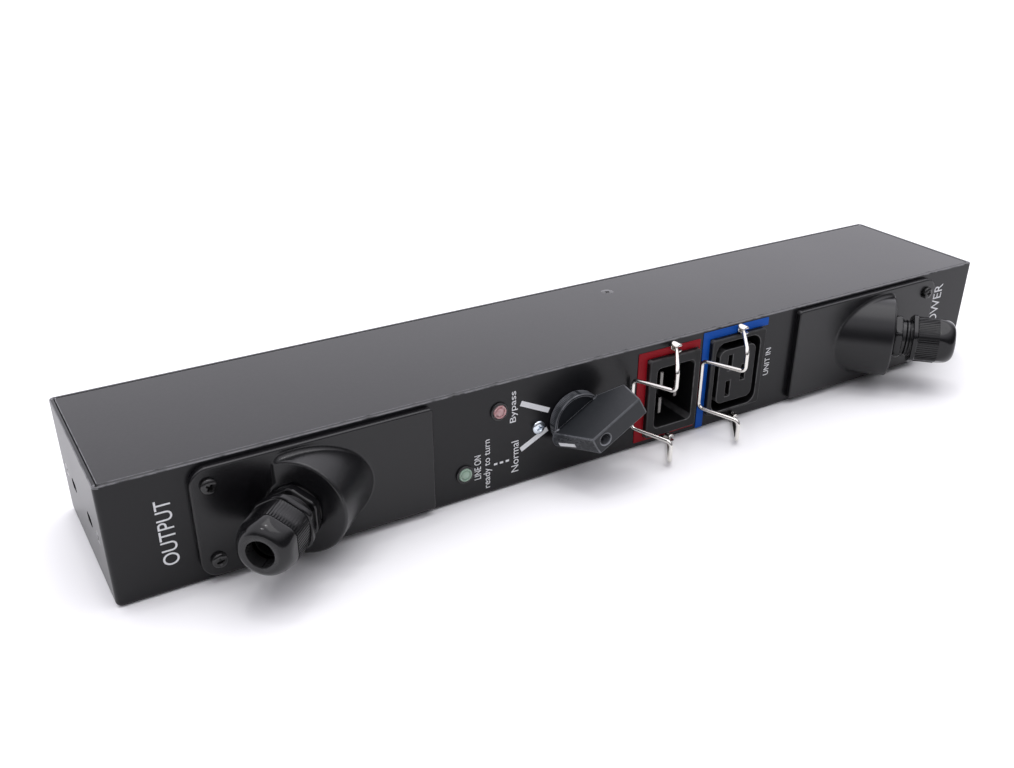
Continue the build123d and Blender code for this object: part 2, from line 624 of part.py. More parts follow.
def make_terminal_block():
    half_x = TERMINAL_SIZE[0] / 2
    half_y = TERMINAL_SIZE[1] / 2
    body = block((TERMINAL_X - half_x, TERMINAL_X + half_x),
                 (TERMINAL_Y - half_y, TERMINAL_Y + half_y), (SHEET, SHEET + TERMINAL_SIZE[2]))
    pitch = TERMINAL_SIZE[0] / TERMINAL_POLES
    for index in range(TERMINAL_POLES):
        x = TERMINAL_X + (index - (TERMINAL_POLES - 1) / 2) * pitch
        for side in (-1, 1):
            body -= rod((x, TERMINAL_Y + side * 5, SHEET + TERMINAL_SIZE[2] + 1), (0, 0, -1), 2.6, 10)
            body -= rod((x, TERMINAL_Y + side * 12, SHEET + 6), (0, -side, 0), 2.4, 9)
    return body


def make_earth_stud():
    return rod((STUD_X, STUD_Y, SHEET), (0, 0, 1), STUD_R, 16)


def make_earth_nut():
    nut = hexagon((STUD_X, STUD_Y, SHEET), (0, 0, 1), 8.0, 4.0, (1, 0, 0))
    return nut - rod((STUD_X, STUD_Y, 0), (0, 0, 1), STUD_R, 30)


def save(name, shape):
    solids = shape.solids()
    export_step(solids[0] if len(solids) == 1 else shape, "parts/" + name + ".step")
    print(name, len(solids), round(shape.volume, 1))


save("enclosure", make_enclosure())
save("lid", make_lid())
save("lid_pillar", make_pillar())
save("lid_top_screw", flat_screw(Vector(*PILLAR_XY, HEIGHT), Vector(0, 0, -1), 10))
for x_side, x_name in ((-1, "left"), (1, "right")):
    for y_side, y_name in ((-1, "front"), (1, "rear")):
        seat = Vector(x_side * LENGTH / 2, y_side * LID_TAB_Y, END_ROW_Z)
        save(f"lid_screw_{x_name}_{y_name}", flat_screw(seat, Vector(-x_side, 0, 0), 7))

hood = make_hood()
gland = make_gland()
hood_screws = make_hood_screws()
for side_name, place in (("output", lambda shape: shape), ("input", mirrored)):
    save(f"{side_name}_hood", place(hood))
    for level, screw in zip(("lower", "upper"), hood_screws):
        save(f"{side_name}_hood_screw_{level}", place(screw))
    for piece_name, piece in gland.items():
        save(f"{side_name}_gland_{piece_name}", place(piece))

save("inlet_housing", make_inlet())
save("outlet_housing", make_outlet())
for pole, (x, z) in zip(("line", "neutral", "earth"), pole_places(INLET_X, INLET_Z)):
    save(f"inlet_pin_{pole}", make_inlet_pin(x, z))
for pole, (x, z) in zip(("line", "neutral", "earth"), pole_places(OUTLET_X, OUTLET_Z)):
    save(f"outlet_contact_{pole}", make_outlet_contact(x, z))
save("inlet_label", make_label(RED_LABEL_X, RED_LABEL_Z, wider(INLET_FLANGE_X, CLEARANCE),
                               wider(INLET_FLANGE_Z, CLEARANCE)))
# The blue sheet shows only above and to the left of the outlet's flange
save("outlet_label", make_label(BLUE_LABEL_X, BLUE_LABEL_Z, (OUTLET_FLANGE_X[0] - CLEARANCE, 90),
                                (0, OUTLET_FLANGE_Z[1] + CLEARANCE)))
for side_x, side_name in zip(BAIL_X, ("inlet", "outlet")):
    save(f"{side_name}_bail", make_bail(side_x))
    for post_place, level, inward in zip(bail_posts(side_x), ("upper", "lower"), (-1, 1)):
        save(f"{side_name}_bail_post_{level}", make_post(post_place, inward))

save("switch_handle", make_handle())
save("switch_handle_screw", make_handle_screw())
save("switch_spindle", make_spindle())
save("switch_cams", make_cams())
save("switch_body", make_switch_body())
save("switch_screw_left", make_switch_screw(-1))
save("switch_screw_right", make_switch_screw(1))

for colour, (x, z) in LAMPS.items():
    save(f"{colour}_lamp_lens", make_lamp_lens(x, z))
    save(f"{colour}_lamp_bezel", make_lamp_bezel(x, z))
save("lamp_board", make_lamp_board())

terminal_block = make_terminal_block()
save("input_terminal_block", terminal_block)
save("output_terminal_block", mirrored(terminal_block))
save("earth_stud", make_earth_stud())
save("earth_nut", make_earth_nut())
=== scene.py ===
import math

import bmesh
import bpy
from mathutils import Matrix, Vector


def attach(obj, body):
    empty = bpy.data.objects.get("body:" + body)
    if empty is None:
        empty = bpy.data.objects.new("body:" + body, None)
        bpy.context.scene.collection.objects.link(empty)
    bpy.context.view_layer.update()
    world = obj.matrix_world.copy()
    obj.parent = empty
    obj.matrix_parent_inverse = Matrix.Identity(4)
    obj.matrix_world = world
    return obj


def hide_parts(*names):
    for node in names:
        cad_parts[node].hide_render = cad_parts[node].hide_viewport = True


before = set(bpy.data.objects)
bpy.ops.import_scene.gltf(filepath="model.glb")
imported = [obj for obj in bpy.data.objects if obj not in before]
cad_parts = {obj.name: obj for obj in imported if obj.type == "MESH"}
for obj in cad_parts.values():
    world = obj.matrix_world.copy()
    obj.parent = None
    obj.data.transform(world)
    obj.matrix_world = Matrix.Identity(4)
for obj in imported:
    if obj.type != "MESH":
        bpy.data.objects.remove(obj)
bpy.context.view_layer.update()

# Maintenance bypass panel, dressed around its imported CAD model. Metres throughout; MM turns the
# millimetre sizes below into metres. +X along the box, -Y out of the front panel, +Z up.
MM = 0.001
TAU = 2 * math.pi

# Steel box
FRONT = -38.4
HEIGHT = 49.5

# Cable gland, distances out along its axis from the hood's face
HOOD_FACE = (-154.9, -46.8, 25.2)
GLAND_STEPS = 144
HEX_TURN = math.radians(60)
HEX_ROUNDING = 0.25
GLAND_HEX_FLAT = 10.0
GLAND_HEX_CORNER = 11.2
GLAND_HEX_START = 1.0
GLAND_HEX_END = 4.8
GLAND_ROOT_R = 8.55
GLAND_CREST_R = 8.98
GLAND_NECK_END = 14.0
GLAND_INNER_END = -10.0
GLAND_STUB_R = 8.0
GLAND_BORE_R = 6.6
GLAND_EDGE = 0.5
THREAD_PITCH = 1.5
NUT_START = 9.4
NUT_COLLAR_END = 11.8
NUT_SHOULDER = 21.8
NUT_END = 29.8
NUT_FLAT = 10.35
NUT_CORNER = 11.2
NUT_COLLAR_FLAT = 11.3
NUT_COLLAR_CORNER = 12.15
NUT_BORE_R = 9.06
NUT_MOUTH_R = 5.3
NUT_MOUTH_RIM = 1.6
NUT_BORE_END = 16.5
NUT_CONE_END = 23.0
NUT_MOUTH_START = 24.5
NUT_DOME_STEPS = 16
NUT_RIBS = 66
NUT_RIB = (0.5, 0.55)

# Wire bails
BAIL_X = {"inlet_bail": 22.5, "outlet_bail": 60.8}
BAIL_MID_Z = 24.6
BAIL_PIVOT_Y = FRONT - 2.6
BAIL_LEG_HALF = 22.2
BAIL_LOOP_HALF = 12.2
BAIL_ELBOW = (-14.2, -18.4)
BAIL_BAR = (-21.8, 0.8)
BAIL_WIRE_R = 0.9
BAIL_BEND_R = 2.4
BAIL_BEND_STEPS = 14
BAIL_WIRE_SIDES = 32
BAIL_PIVOT_LENGTH = 2.0

# Rotary switch
SWITCH_X = -28.7
SWITCH_Z = 25.5
SWITCH_SCREW_SPREAD = 18.0
POINTER_ANGLE = math.radians(210)
GRIP_HALF = 4.4
NOSE_FOOT = (4.2, 12.4, 15.3)
NOSE_TOP = (23.5, 4.9, 5.1)
MARK_ROWS = 12
MARK_COLUMNS = 6
MARK_START = 0.17
MARK_LENGTH = 0.36
MARK_HALF_WIDTH = 0.2
MARK_LIFTS = (0.03, 0.09)

# Screws
PAN_HEAD_R = 3.0
PAN_HEAD = 2.1
PAN_SHOULDER = 0.95
PAN_ROUNDNESS = 0.62
PAN_RECESS = 1.85
PAN_LENGTH = 6.0
M3_R = 1.5
M3_ROOT_R = 1.38
M3_PITCH = 0.5
FLAT_HEAD_R = 2.9
FLAT_HEAD = 1.4
FLAT_RECESS = 1.55
FLAT_LENGTH = 6.5
SCREW_STEPS = 48
AXIS_R = 0.02
HOOD_SCREW_X = 183.5
HOOD_SCREW_Z = (10.0, 41.0)
HOOD_PLATE = 3.0
END_SCREW_X = 220.0
END_SCREW_Y = 27.0
END_SCREW_Z = 23.5
LID_SCREW = (30.7, 22.3, HEIGHT)

# Lamps
LAMPS = {"green": (-81.3, 12.9), "red": (-65.2, 37.4)}

LENS_R = 2.9
LENS_DOME_R = 1.95
LENS_STEP = 0.75
LENS_TOP = 1.75
LENS_DEPTH = 5.0

# Edges: the widest strip that rounds one, and the turn that makes it a whole edge
STRIP_WIDTH = 0.4
WHOLE_EDGE = math.radians(25)
SHARP_TURN = math.radians(42)

# Brightness of the room, and where it goes from the front to the back of it
WORLD_FRONT = 0.12
WORLD_BEHIND = 1.7
WORLD_ABOVE = 1.45
WORLD_TURN = (-0.15, 0.5)
WORLD_RISE = (0.3, 0.85)
WORLD_COLOUR = (0.95, 0.935, 1.0)
FLOOR_HALF = 6.0

# Lights: name, place, the point each faces, side of its square, watts
LIGHTS = (
    ("overhead", (0.35, 0.1, 1.9), (0, 0, 0), 1.6, 11),
    ("lamp_left", (-0.75, -0.1, 1.5), (-0.15, 0, 0), 0.12, 1.1),
    ("lamp_right", (-0.1, 0.15, 1.6), (-0.1, 0, 0), 0.12, 1.5),
)

# Print on the panel: words, lowest and highest x and z that they fill
PRINT_LIFT = 0.03
PRINT_THICKNESS = 0.03
BAR_LIFT = 0.005
LEGENDS = {
    "print_output": ("OUTPUT", (-202.1, -196.3), (11.6, 38.4)),
    "print_power": ("POWER", (194.0, 200.0), (16.5, 41.8)),
    "print_line_on": ("LINE ON", (-76.8, -73.7), (8.6, 19.8)),
    "print_ready": ("ready to turn", (-72.5, -68.5), (3.2, 25.9)),
    "print_normal": ("Normal", (-59.3, -55.8), (7.0, 21.6)),
    "print_bypass": ("Bypass", (-60.1, -56.3), (30.6, 44.6)),
    "print_unit_in": ("UNIT IN", (79.3, 82.4), (18.4, 32.3)),
}
BARS = {
    "print_bar_bypass": ((-54.9, 38.3), (-41.2, 31.6), 2.3),
    "print_bar_normal": ((-54.8, 16.7), (-41.8, 23.1), 2.3),
}
DASHES = ((-67.6, -66.0), (-64.8, -63.2), (-62.0, -60.4))
DASH_Z = (12.9, 13.8)

# Internal wires: radius, bend, and the routes of each colour
INNER_WIRE_R = 1.6
INNER_WIRE_BEND = 7.0
BROWN_ROUTES = (
    ((-93, 14, 12), (-93, 2, 30), (-62, 0, 34), (-40, 6, 34)),
    ((93, 14, 12), (93, 2, 30), (70, 2, 40), (40, 4, 40), (20, 0, 30), (20, -2, 30)),
)
BLUE_ROUTES = (
    ((-107, 14, 12), (-107, 0, 26), (-62, -4, 28), (-40, 6, 26)),
    ((107, 14, 12), (107, 0, 26), (84, 4, 30), (55, 4, 18), (55, -2, 18)),
)
EARTH_ROUTES = (
    ((-79, 14, 12), (-79, 6, 8), (-100, 30, 8), (-125, 30, 10), (-125, 22, 9)),
    ((79, 14, 12), (79, 10, 6), (28, 20, 6), (28, 4, 23), (28, -2, 23)),
)


# ---------------------------------------------------------------- meshes

def empty_holder(mesh):
    """A short-lived object around a mesh, for modifiers to work on."""
    holder = bpy.data.objects.new("holder", mesh)
    bpy.context.scene.collection.objects.link(holder)
    return holder


def settled(holder):
    """What a holder looks like with its modifiers, as one plain mesh. The holder goes."""
    bpy.context.view_layer.update()
    depsgraph = bpy.context.evaluated_depsgraph_get()
    mesh = bpy.data.meshes.new_from_object(
        holder.evaluated_get(depsgraph), preserve_all_data_layers=True, depsgraph=depsgraph)
    bpy.data.objects.remove(holder)
    return mesh


def plain_mesh(shape, name):
    """A bmesh as a mesh of its own. The bmesh goes."""
    mesh = bpy.data.meshes.new(name)
    shape.to_mesh(mesh)
    shape.free()
    return mesh


def joined(meshes):
    """Several meshes as one."""
    shape = bmesh.new()
    for mesh in meshes:
        shape.from_mesh(mesh)
    return plain_mesh(shape, "joined")


def mark_edges(mesh):
    """Marks the narrow strips that round an edge, for wear and a painted highlight there and
    not on the flats beside.
    """
    shape = bmesh.new()
    shape.from_mesh(mesh)
    layer = shape.faces.layers.float.new("edge")
    for face in shape.faces:
        turns = [edge.calc_face_angle(0.0) for edge in face.edges if len(edge.link_faces) == 2]
        longest = max(edge.calc_length() for edge in face.edges)
        narrow = face.calc_area() < STRIP_WIDTH * MM * longest
        slanted = max(abs(part) for part in face.normal) < 0.999
        if narrow and slanted:
            face[layer] = min(1.0, max(turns, default=0.0) / WHOLE_EDGE)
    shape.to_mesh(mesh)
    shape.free()


def add_piece(name, mesh, body, material, replaced):
    """Makes a finished mesh a piece of the object."""
    mesh.name = name
    mesh.materials.clear()
    mesh.materials.append(material)
    piece = bpy.data.objects.new(name, mesh)
    bpy.context.scene.collection.objects.link(piece)
    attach(piece, body)
    if replaced:
        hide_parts(*replaced)


def show(name, mesh, body, material, replaced=(), sharp=math.radians(38)):
    """Shades a mesh smooth up to the sharp angle and adds it as a piece."""
    mesh.shade_smooth()
    mesh.set_sharp_from_angle(angle=sharp)
    add_piece(name, mesh, body, material, replaced)


def clean_copy(node):
    """A CAD node's mesh with its corners merged and its flat faces joined."""
    shape = bmesh.new()
    shape.from_mesh(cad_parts[node].data)
    bmesh.ops.remove_doubles(shape, verts=shape.verts, dist=0.002 * MM)
    bmesh.ops.dissolve_limit(shape, angle_limit=math.radians(0.5), verts=shape.verts,
                             edges=shape.edges, use_dissolve_boundaries=False, delimit=set())
    return plain_mesh(shape, node)


def soften(node, width, body, material, segments=3):
    """Shows a CAD node with its sharp edges rounded, as on the real moulding or sheet. With no
    width it keeps the roundings that the CAD gave it."""
    mesh = clean_copy(node)
    mesh.shade_smooth()
    mesh.set_sharp_from_angle(angle=SHARP_TURN)
    holder = empty_holder(mesh)
    if width:
        rounding = holder.modifiers.new("rounding", "BEVEL")
        rounding.width = width * MM
        rounding.segments = segments
        rounding.limit_method = "ANGLE"
        rounding.angle_limit = SHARP_TURN
        rounding.use_clamp_overlap = False
    weighting = holder.modifiers.new("weighting", "WEIGHTED_NORMAL")
    weighting.keep_sharp = True
    weighting.weight = 90
    mesh = settled(holder)
    mark_edges(mesh)
    add_piece(node + "_finished", mesh, body, material, [node])


def dress(material, *nodes):
    """Gives CAD nodes that stay a better material."""
    for node in nodes:
        mesh_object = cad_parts[node]
        mesh_object.data.materials.clear()
        mesh_object.data.materials.append(material)


def ring_surface(rings):
    """Joins rings of points, each with the same count, into one closed skin."""
    mesh = bpy.data.meshes.new("rings")
    count = len(rings[0])
    points = [point for ring in rings for point in ring]
    faces = []
    for row in range(len(rings)):
        here = row * count
        there = (row + 1) % len(rings) * count
        for step in range(count):
            side = (step + 1) % count
            faces.append((here + step, here + side, there + side, there + step))
    mesh.from_pydata(points, [], faces)
    shape = bmesh.new()
    shape.from_mesh(mesh)
    bmesh.ops.recalc_face_normals(shape, faces=shape.faces)
    shape.to_mesh(mesh)
    shape.free()
    return mesh


def hexagon_reach(angle, radius, flat):
    """How far out a hexagon of half width flat goes, its corners cut off at radius."""
    to_flat = angle % HEX_TURN - HEX_TURN / 2
    return smooth_least(radius, flat / math.cos(to_flat), HEX_ROUNDING)


def lathe(profile, steps):
    """A closed turned skin about local Z. A profile row is (distance, radius), or with a third
    number, the half width of a hexagon whose corners are cut off at radius."""
    rings = []
    for distance, radius, *flat in profile:
        ring = []
        for step in range(steps):
            angle = TAU * step / steps
            reach = hexagon_reach(angle, radius, *flat) if flat else radius
            ring.append(Vector((reach * math.cos(angle), reach * math.sin(angle), distance)) * MM)
        rings.append(ring)
    return ring_surface(rings)


def dome_rows(start, end, rim, middle, steps, roundness=1.0, flat=()):
    """Profile rows that curve in from radius rim at start to radius middle at end."""
    rows = []
    for index in range(1, steps + 1):
        turn = math.radians(90 * index / steps)
        rows.append((start + (end - start) * math.sin(turn),
                     middle + (rim - middle) * math.cos(turn) ** roundness, *flat))
    return rows


def smooth_least(first, second, softness):
    """The lesser of two numbers, with the change between them rounded."""
    gap = (first - second) / softness
    if abs(gap) > 30:
        return min(first, second)
    return (first + second) / 2 - softness * math.log(math.exp(-gap / 2) + math.exp(gap / 2))


def gland_place(side):
    """Turns the gland's local frame, Z out along its axis and X up, into its place."""
    sign = {"output": -1, "input": 1}[side]
    out = Vector((sign, -1, 0)).normalized()
    up = Vector((0, 0, 1))
    across = out.cross(up)
    origin = Vector((-sign * HOOD_FACE[0], HOOD_FACE[1], HOOD_FACE[2])) * MM
    turn = Matrix((up, across, out)).transposed().to_4x4()
    return Matrix.Translation(origin) @ turn


# ---------------------------------------------------------------- geometry nodes

def geometry_tree(name, inputs):
    """A new Geometry Nodes tree with named inputs: (name, socket type, value)."""
    tree = bpy.data.node_groups.new(name, "GeometryNodeTree")
    tree.interface.new_socket("Geometry", in_out="INPUT", socket_type="NodeSocketGeometry")
    for label, kind, value in inputs:
        socket = tree.interface.new_socket(label, in_out="INPUT", socket_type=kind)
        if value is not None:
            socket.default_value = value
    tree.interface.new_socket("Geometry", in_out="OUTPUT", socket_type="NodeSocketGeometry")
    return tree, tree.nodes.new("NodeGroupInput"), tree.nodes.new("NodeGroupOutput")


def add_node(tree, kind, links=None, **settings):
    """A node with its settings, its inputs linked from sockets or set to plain values."""
    node = tree.nodes.new(kind)
    for key, value in settings.items():
        setattr(node, key, value)
    for label, value in (links or {}).items():
        socket = node.inputs[label]
        if isinstance(value, bpy.types.NodeSocket):
            tree.links.new(value, socket)
        else:
            socket.default_value = value
    return node


def end_tree(tree, exit_node, geometry, material):
    """Every tree ends the same way: instances made real, then the material."""
    real = add_node(tree, "GeometryNodeRealizeInstances", {"Geometry": geometry})
    coloured = add_node(tree, "GeometryNodeSetMaterial",
                        {"Geometry": real.outputs[0], "Material": material})
    tree.links.new(coloured.outputs[0], exit_node.inputs[0])


def copies_tree():
    """Sets a copy of a template piece on every point, its Z axis along the point's facing."""
    tree, given, result = geometry_tree("placed_copies", [
        ("Template", "NodeSocketObject", None),
        ("Material", "NodeSocketMaterial", None)])
    facing = add_node(tree, "GeometryNodeInputNamedAttribute", {"Name": "facing"},
                      data_type="FLOAT_VECTOR")
    spin = add_node(tree, "GeometryNodeInputNamedAttribute", {"Name": "spin"}, data_type="FLOAT")
    aimed = add_node(tree, "FunctionNodeAlignRotationToVector",
                     {"Vector": facing.outputs["Attribute"]}, axis="Z")
    spun = add_node(tree, "FunctionNodeAxisAngleToRotation",
                    {"Axis": (0, 0, 1), "Angle": spin.outputs["Attribute"]})
    both = add_node(tree, "FunctionNodeRotateRotation",
                    {"Rotation": aimed.outputs[0], "Rotate By": spun.outputs[0]},
                    rotation_space="LOCAL")
    template = add_node(tree, "GeometryNodeObjectInfo", {"Object": given.outputs["Template"]})
    copies = add_node(tree, "GeometryNodeInstanceOnPoints",
                      {"Points": given.outputs["Geometry"],
                       "Instance": template.outputs["Geometry"], "Rotation": both.outputs[0]})
    end_tree(tree, result, copies.outputs[0], given.outputs["Material"])
    return tree


def tube(tree, curve, sides, radius):
    """Closed skin of even radius round a curve."""
    section = add_node(tree, "GeometryNodeCurvePrimitiveCircle",
                       {"Resolution": sides, "Radius": radius}, mode="RADIUS")
    skin = add_node(tree, "GeometryNodeCurveToMesh",
                    {"Curve": curve, "Profile Curve": section.outputs[0], "Fill Caps": True})
    return skin.outputs[0]


def wire_tree():
    """Turns an edge path into round wire with rounded corners."""
    tree, given, result = geometry_tree("bent_wire", [
        ("Bend Radius", "NodeSocketFloat", 0.002),
        ("Bend Steps", "NodeSocketInt", 10),
        ("Wire Radius", "NodeSocketFloat", 0.001),
        ("Wire Sides", "NodeSocketInt", 24),
        ("Material", "NodeSocketMaterial", None)])
    path = add_node(tree, "GeometryNodeMeshToCurve", {"Mesh": given.outputs["Geometry"]})
    bent = add_node(tree, "GeometryNodeFilletCurve",
                    {"Curve": path.outputs[0], "Count": given.outputs["Bend Steps"],
                     "Radius": given.outputs["Bend Radius"], "Limit Radius": True}, mode="POLY")
    skin = tube(tree, bent.outputs[0], given.outputs["Wire Sides"], given.outputs["Wire Radius"])
    end_tree(tree, result, skin, given.outputs["Material"])
    return tree


def rib_tree():
    """Sets straight ribs at an even pitch round a closed outline, pointing away from its middle."""
    tree, given, result = geometry_tree("ribbed_ring", [
        ("Ribs", "NodeSocketInt", 60),
        ("Rib Size", "NodeSocketVector", (0.0005, 0.0005, 0.008)),
        ("Material", "NodeSocketMaterial", None)])
    outline = add_node(tree, "GeometryNodeMeshToCurve", {"Mesh": given.outputs["Geometry"]})
    places = add_node(tree, "GeometryNodeCurveToPoints",
                      {"Curve": outline.outputs[0], "Count": given.outputs["Ribs"]}, mode="COUNT")
    position = add_node(tree, "GeometryNodeInputPosition")
    outward = add_node(tree, "ShaderNodeVectorMath", {0: position.outputs[0], 1: (1, 1, 0)},
                       operation="MULTIPLY")
    turned = add_node(tree, "FunctionNodeAlignRotationToVector",
                      {"Vector": outward.outputs[0]}, axis="X", pivot_axis="Z")
    rib = add_node(tree, "GeometryNodeMeshCube", {"Size": given.outputs["Rib Size"]})
    copies = add_node(tree, "GeometryNodeInstanceOnPoints",
                      {"Points": places.outputs[0], "Instance": rib.outputs["Mesh"],
                       "Rotation": turned.outputs[0]})
    end_tree(tree, result, copies.outputs[0], given.outputs["Material"])
    return tree


def thread_tree():
    """A spiral ridge of triangular section about local Z."""
    tree, given, result = geometry_tree("screw_thread", [
        ("Turns", "NodeSocketFloat", 4.0),
        ("Radius", "NodeSocketFloat", 0.008),
        ("Height", "NodeSocketFloat", 0.006),
        ("Ridge", "NodeSocketFloat", 0.0006),
        ("Material", "NodeSocketMaterial", None)])
    spiral = add_node(tree, "GeometryNodeCurveSpiral",
                      {"Resolution": 48, "Rotations": given.outputs["Turns"],
                       "Start Radius": given.outputs["Radius"],
                       "End Radius": given.outputs["Radius"], "Height": given.outputs["Height"]})
    skin = tube(tree, spiral.outputs[0], 4, given.outputs["Ridge"])
    end_tree(tree, result, skin, given.outputs["Material"])
    return tree


def grown(mesh, tree, **values):
    """Runs a tree on a mesh, with its inputs given by name, and returns the plain result."""
    holder = empty_holder(mesh)
    modifier = holder.modifiers.new("rule", "NODES")
    modifier.node_group = tree
    wanted = {key.replace("_", " ").title(): value for key, value in values.items()}
    for item in tree.interface.items_tree:
        if item.in_out == "INPUT" and item.name in wanted:
            modifier[item.identifier] = wanted.pop(item.name)
    if wanted:
        raise ValueError(f"{tree.name} has no input {sorted(wanted)}")
    return settled(holder)


def path_mesh(points, closed=False):
    """Points in millimetres joined by edges, in order."""
    mesh = bpy.data.meshes.new("path")
    links = [(index, index + 1) for index in range(len(points) - 1)]
    if closed:
        links.append((len(points) - 1, 0))
    mesh.from_pydata([Vector(point) * MM for point in points], links, [])
    return mesh


def place_mesh(places):
    """Points for copies: (point, facing, spin)."""
    mesh = bpy.data.meshes.new("places")
    mesh.from_pydata([Vector(point) * MM for point, facing, spin in places], [], [])
    mesh.attributes.new("facing", "FLOAT_VECTOR", "POINT")
    mesh.attributes.new("spin", "FLOAT", "POINT")
    for index, (point, facing, spin) in enumerate(places):
        mesh.attributes["facing"].data[index].vector = facing
        mesh.attributes["spin"].data[index].value = spin
    return mesh


# ---------------------------------------------------------------- shared shader effects

def shader_group(name, inputs, outputs):
    """A new shader node group: inputs (name, value), outputs are names of values."""
    group = bpy.data.node_groups.new(name, "ShaderNodeTree")
    for label, value in inputs:
        socket = group.interface.new_socket(label, in_out="INPUT", socket_type="NodeSocketFloat")
        socket.default_value = value
    for label in outputs:
        group.interface.new_socket(label, in_out="OUTPUT", socket_type="NodeSocketFloat")
    return group, group.nodes.new("NodeGroupInput"), group.nodes.new("NodeGroupOutput")


def object_place(tree):
    """The point being shaded, in the piece's own coordinates."""
    return add_node(tree, "ShaderNodeTexCoord").outputs["Object"]


def noise(tree, place, scale, detail, roughness=0.5):
    """A noise value. Its scale is a number or a socket."""
    node = add_node(tree, "ShaderNodeTexNoise", {"Vector": place, "Scale": scale,
                                                 "Detail": detail, "Roughness": roughness})
    return node.outputs["Fac"]


def ramp(tree, value, start, end, low=0.0, high=1.0, kind="LINEAR"):
    """A value that goes from low to high while another goes from start to end."""
    node = add_node(tree, "ShaderNodeMapRange",
                    {"Value": value, "From Min": start, "From Max": end, "To Min": low,
                     "To Max": high}, interpolation_type=kind)
    return node.outputs[0]


def sum_or_product(tree, operation, first, *others):
    """Values added or multiplied together."""
    for other in others:
        node = add_node(tree, "ShaderNodeMath", {0: first, 1: other}, operation=operation)
        first = node.outputs[0]
    return first


def grain_group():
    """Fine orange-peel or mould grain, with slow changes of tone across the piece."""
    group, given, result = shader_group("surface_grain", [("Grain Scale", 2500.0),
                                                          ("Tone Scale", 9.0)],
                                        ["Height", "Tone"])
    place = object_place(group)
    scale = given.outputs["Grain Scale"]
    cells = add_node(group, "ShaderNodeTexVoronoi", {"Vector": place, "Scale": scale},
                     feature="SMOOTH_F1")
    height = sum_or_product(group, "ADD", noise(group, place, scale, 3.0, 0.6),
                            cells.outputs["Distance"])
    group.links.new(sum_or_product(group, "MULTIPLY", height, 0.5), result.inputs["Height"])
    group.links.new(noise(group, place, given.outputs["Tone Scale"], 4.0, 0.55),
                    result.inputs["Tone"])
    return group


def wear_and_highlight_group():
    """Lighter high edges, broken up by noise: wear from handling and a painted highlight."""
    group, given, result = shader_group("edge_wear_and_highlight", [("Amount", 0.5), ("Patch Scale", 220.0),
                                                      ("Lowest", -HEIGHT * MM)], ["Mask"])
    place = object_place(group)
    split = add_node(group, "ShaderNodeSeparateXYZ", {"Vector": place})
    high = add_node(group, "ShaderNodeMath",
                    {0: split.outputs["Z"], 1: given.outputs["Lowest"]}, operation="GREATER_THAN")
    edge = add_node(group, "ShaderNodeAttribute", attribute_name="edge")
    patches = ramp(group, noise(group, place, given.outputs["Patch Scale"], 5.0), 0.25, 0.5)
    mask = sum_or_product(group, "MULTIPLY", patches, edge.outputs["Fac"], high.outputs[0],
                          given.outputs["Amount"])
    group.links.new(mask, result.inputs["Mask"])
    return group


def dust_group():
    """Faint dust that lies on faces that look up."""
    group, given, result = shader_group("settled_dust", [("Amount", 0.1)], ["Mask"])
    shape = add_node(group, "ShaderNodeNewGeometry")
    split = add_node(group, "ShaderNodeSeparateXYZ", {"Vector": shape.outputs["Normal"]})
    upward = ramp(group, split.outputs["Z"], 0.5, 1.0)
    specks = ramp(group, noise(group, object_place(group), 900.0, 6.0), 0.45, 0.8)
    mask = sum_or_product(group, "MULTIPLY", upward, specks, given.outputs["Amount"])
    group.links.new(mask, result.inputs["Mask"])
    return group


def brushed_group():
    """Drawn or rolled metal: long fine streaks along one axis."""
    group, given, result = shader_group("drawn_streaks", [("Streak Scale", 900.0)],
                                        ["Height", "Tone"])
    place = object_place(group)
    stretched = add_node(group, "ShaderNodeMapping",
                         {"Vector": place, "Scale": (1.0, 1.0, 0.06)}).outputs[0]
    group.links.new(noise(group, stretched, given.outputs["Streak Scale"], 4.0),
                    result.inputs["Height"])
    group.links.new(noise(group, place, 60.0, 3.0), result.inputs["Tone"])
    return group


GRAIN = grain_group()
WEAR_AND_HIGHLIGHT = wear_and_highlight_group()
DUST = dust_group()
STREAKS = brushed_group()


# ---------------------------------------------------------------- materials

DUST_COLOUR = (0.32, 0.31, 0.29)


def start_material(name, roughness, metallic=0.0, ior=1.5):
    """A material, its tree and its shader with the plain values set."""
    material = bpy.data.materials.new(name)
    material.use_nodes = True
    tree = material.node_tree
    shader = tree.nodes["Principled BSDF"]
    shader.inputs["Roughness"].default_value = roughness
    shader.inputs["Metallic"].default_value = metallic
    shader.inputs["IOR"].default_value = ior
    return material, tree, shader


def use_group(tree, group, **values):
    """A group in a material's tree, with its inputs given by name."""
    node = tree.nodes.new("ShaderNodeGroup")
    node.node_tree = group
    for key, value in values.items():
        node.inputs[key.replace("_", " ").title()].default_value = value
    return node


def blend_colours(tree, mask, first, second):
    """A colour that goes from first to second with the mask. Each is a colour or a socket."""
    mix = tree.nodes.new("ShaderNodeMix")
    mix.data_type = "RGBA"
    tree.links.new(mask, mix.inputs["Factor"])
    for index, value in ((6, first), (7, second)):
        if isinstance(value, bpy.types.NodeSocket):
            tree.links.new(value, mix.inputs[index])
        else:
            mix.inputs[index].default_value = (*value, 1.0)
    return mix.outputs[2]


def spread_roughness(tree, shader, mask, low, high):
    """Roughness that goes from low to high with a noise mask."""
    tree.links.new(ramp(tree, mask, 0.3, 0.7, low, high), shader.inputs["Roughness"])


def add_bump(tree, shader, height, depth):
    """Bump of a depth in millimetres."""
    bump = add_node(tree, "ShaderNodeBump",
                    {"Height": height, "Distance": depth * MM, "Strength": 1.0})
    tree.links.new(bump.outputs[0], shader.inputs["Normal"])


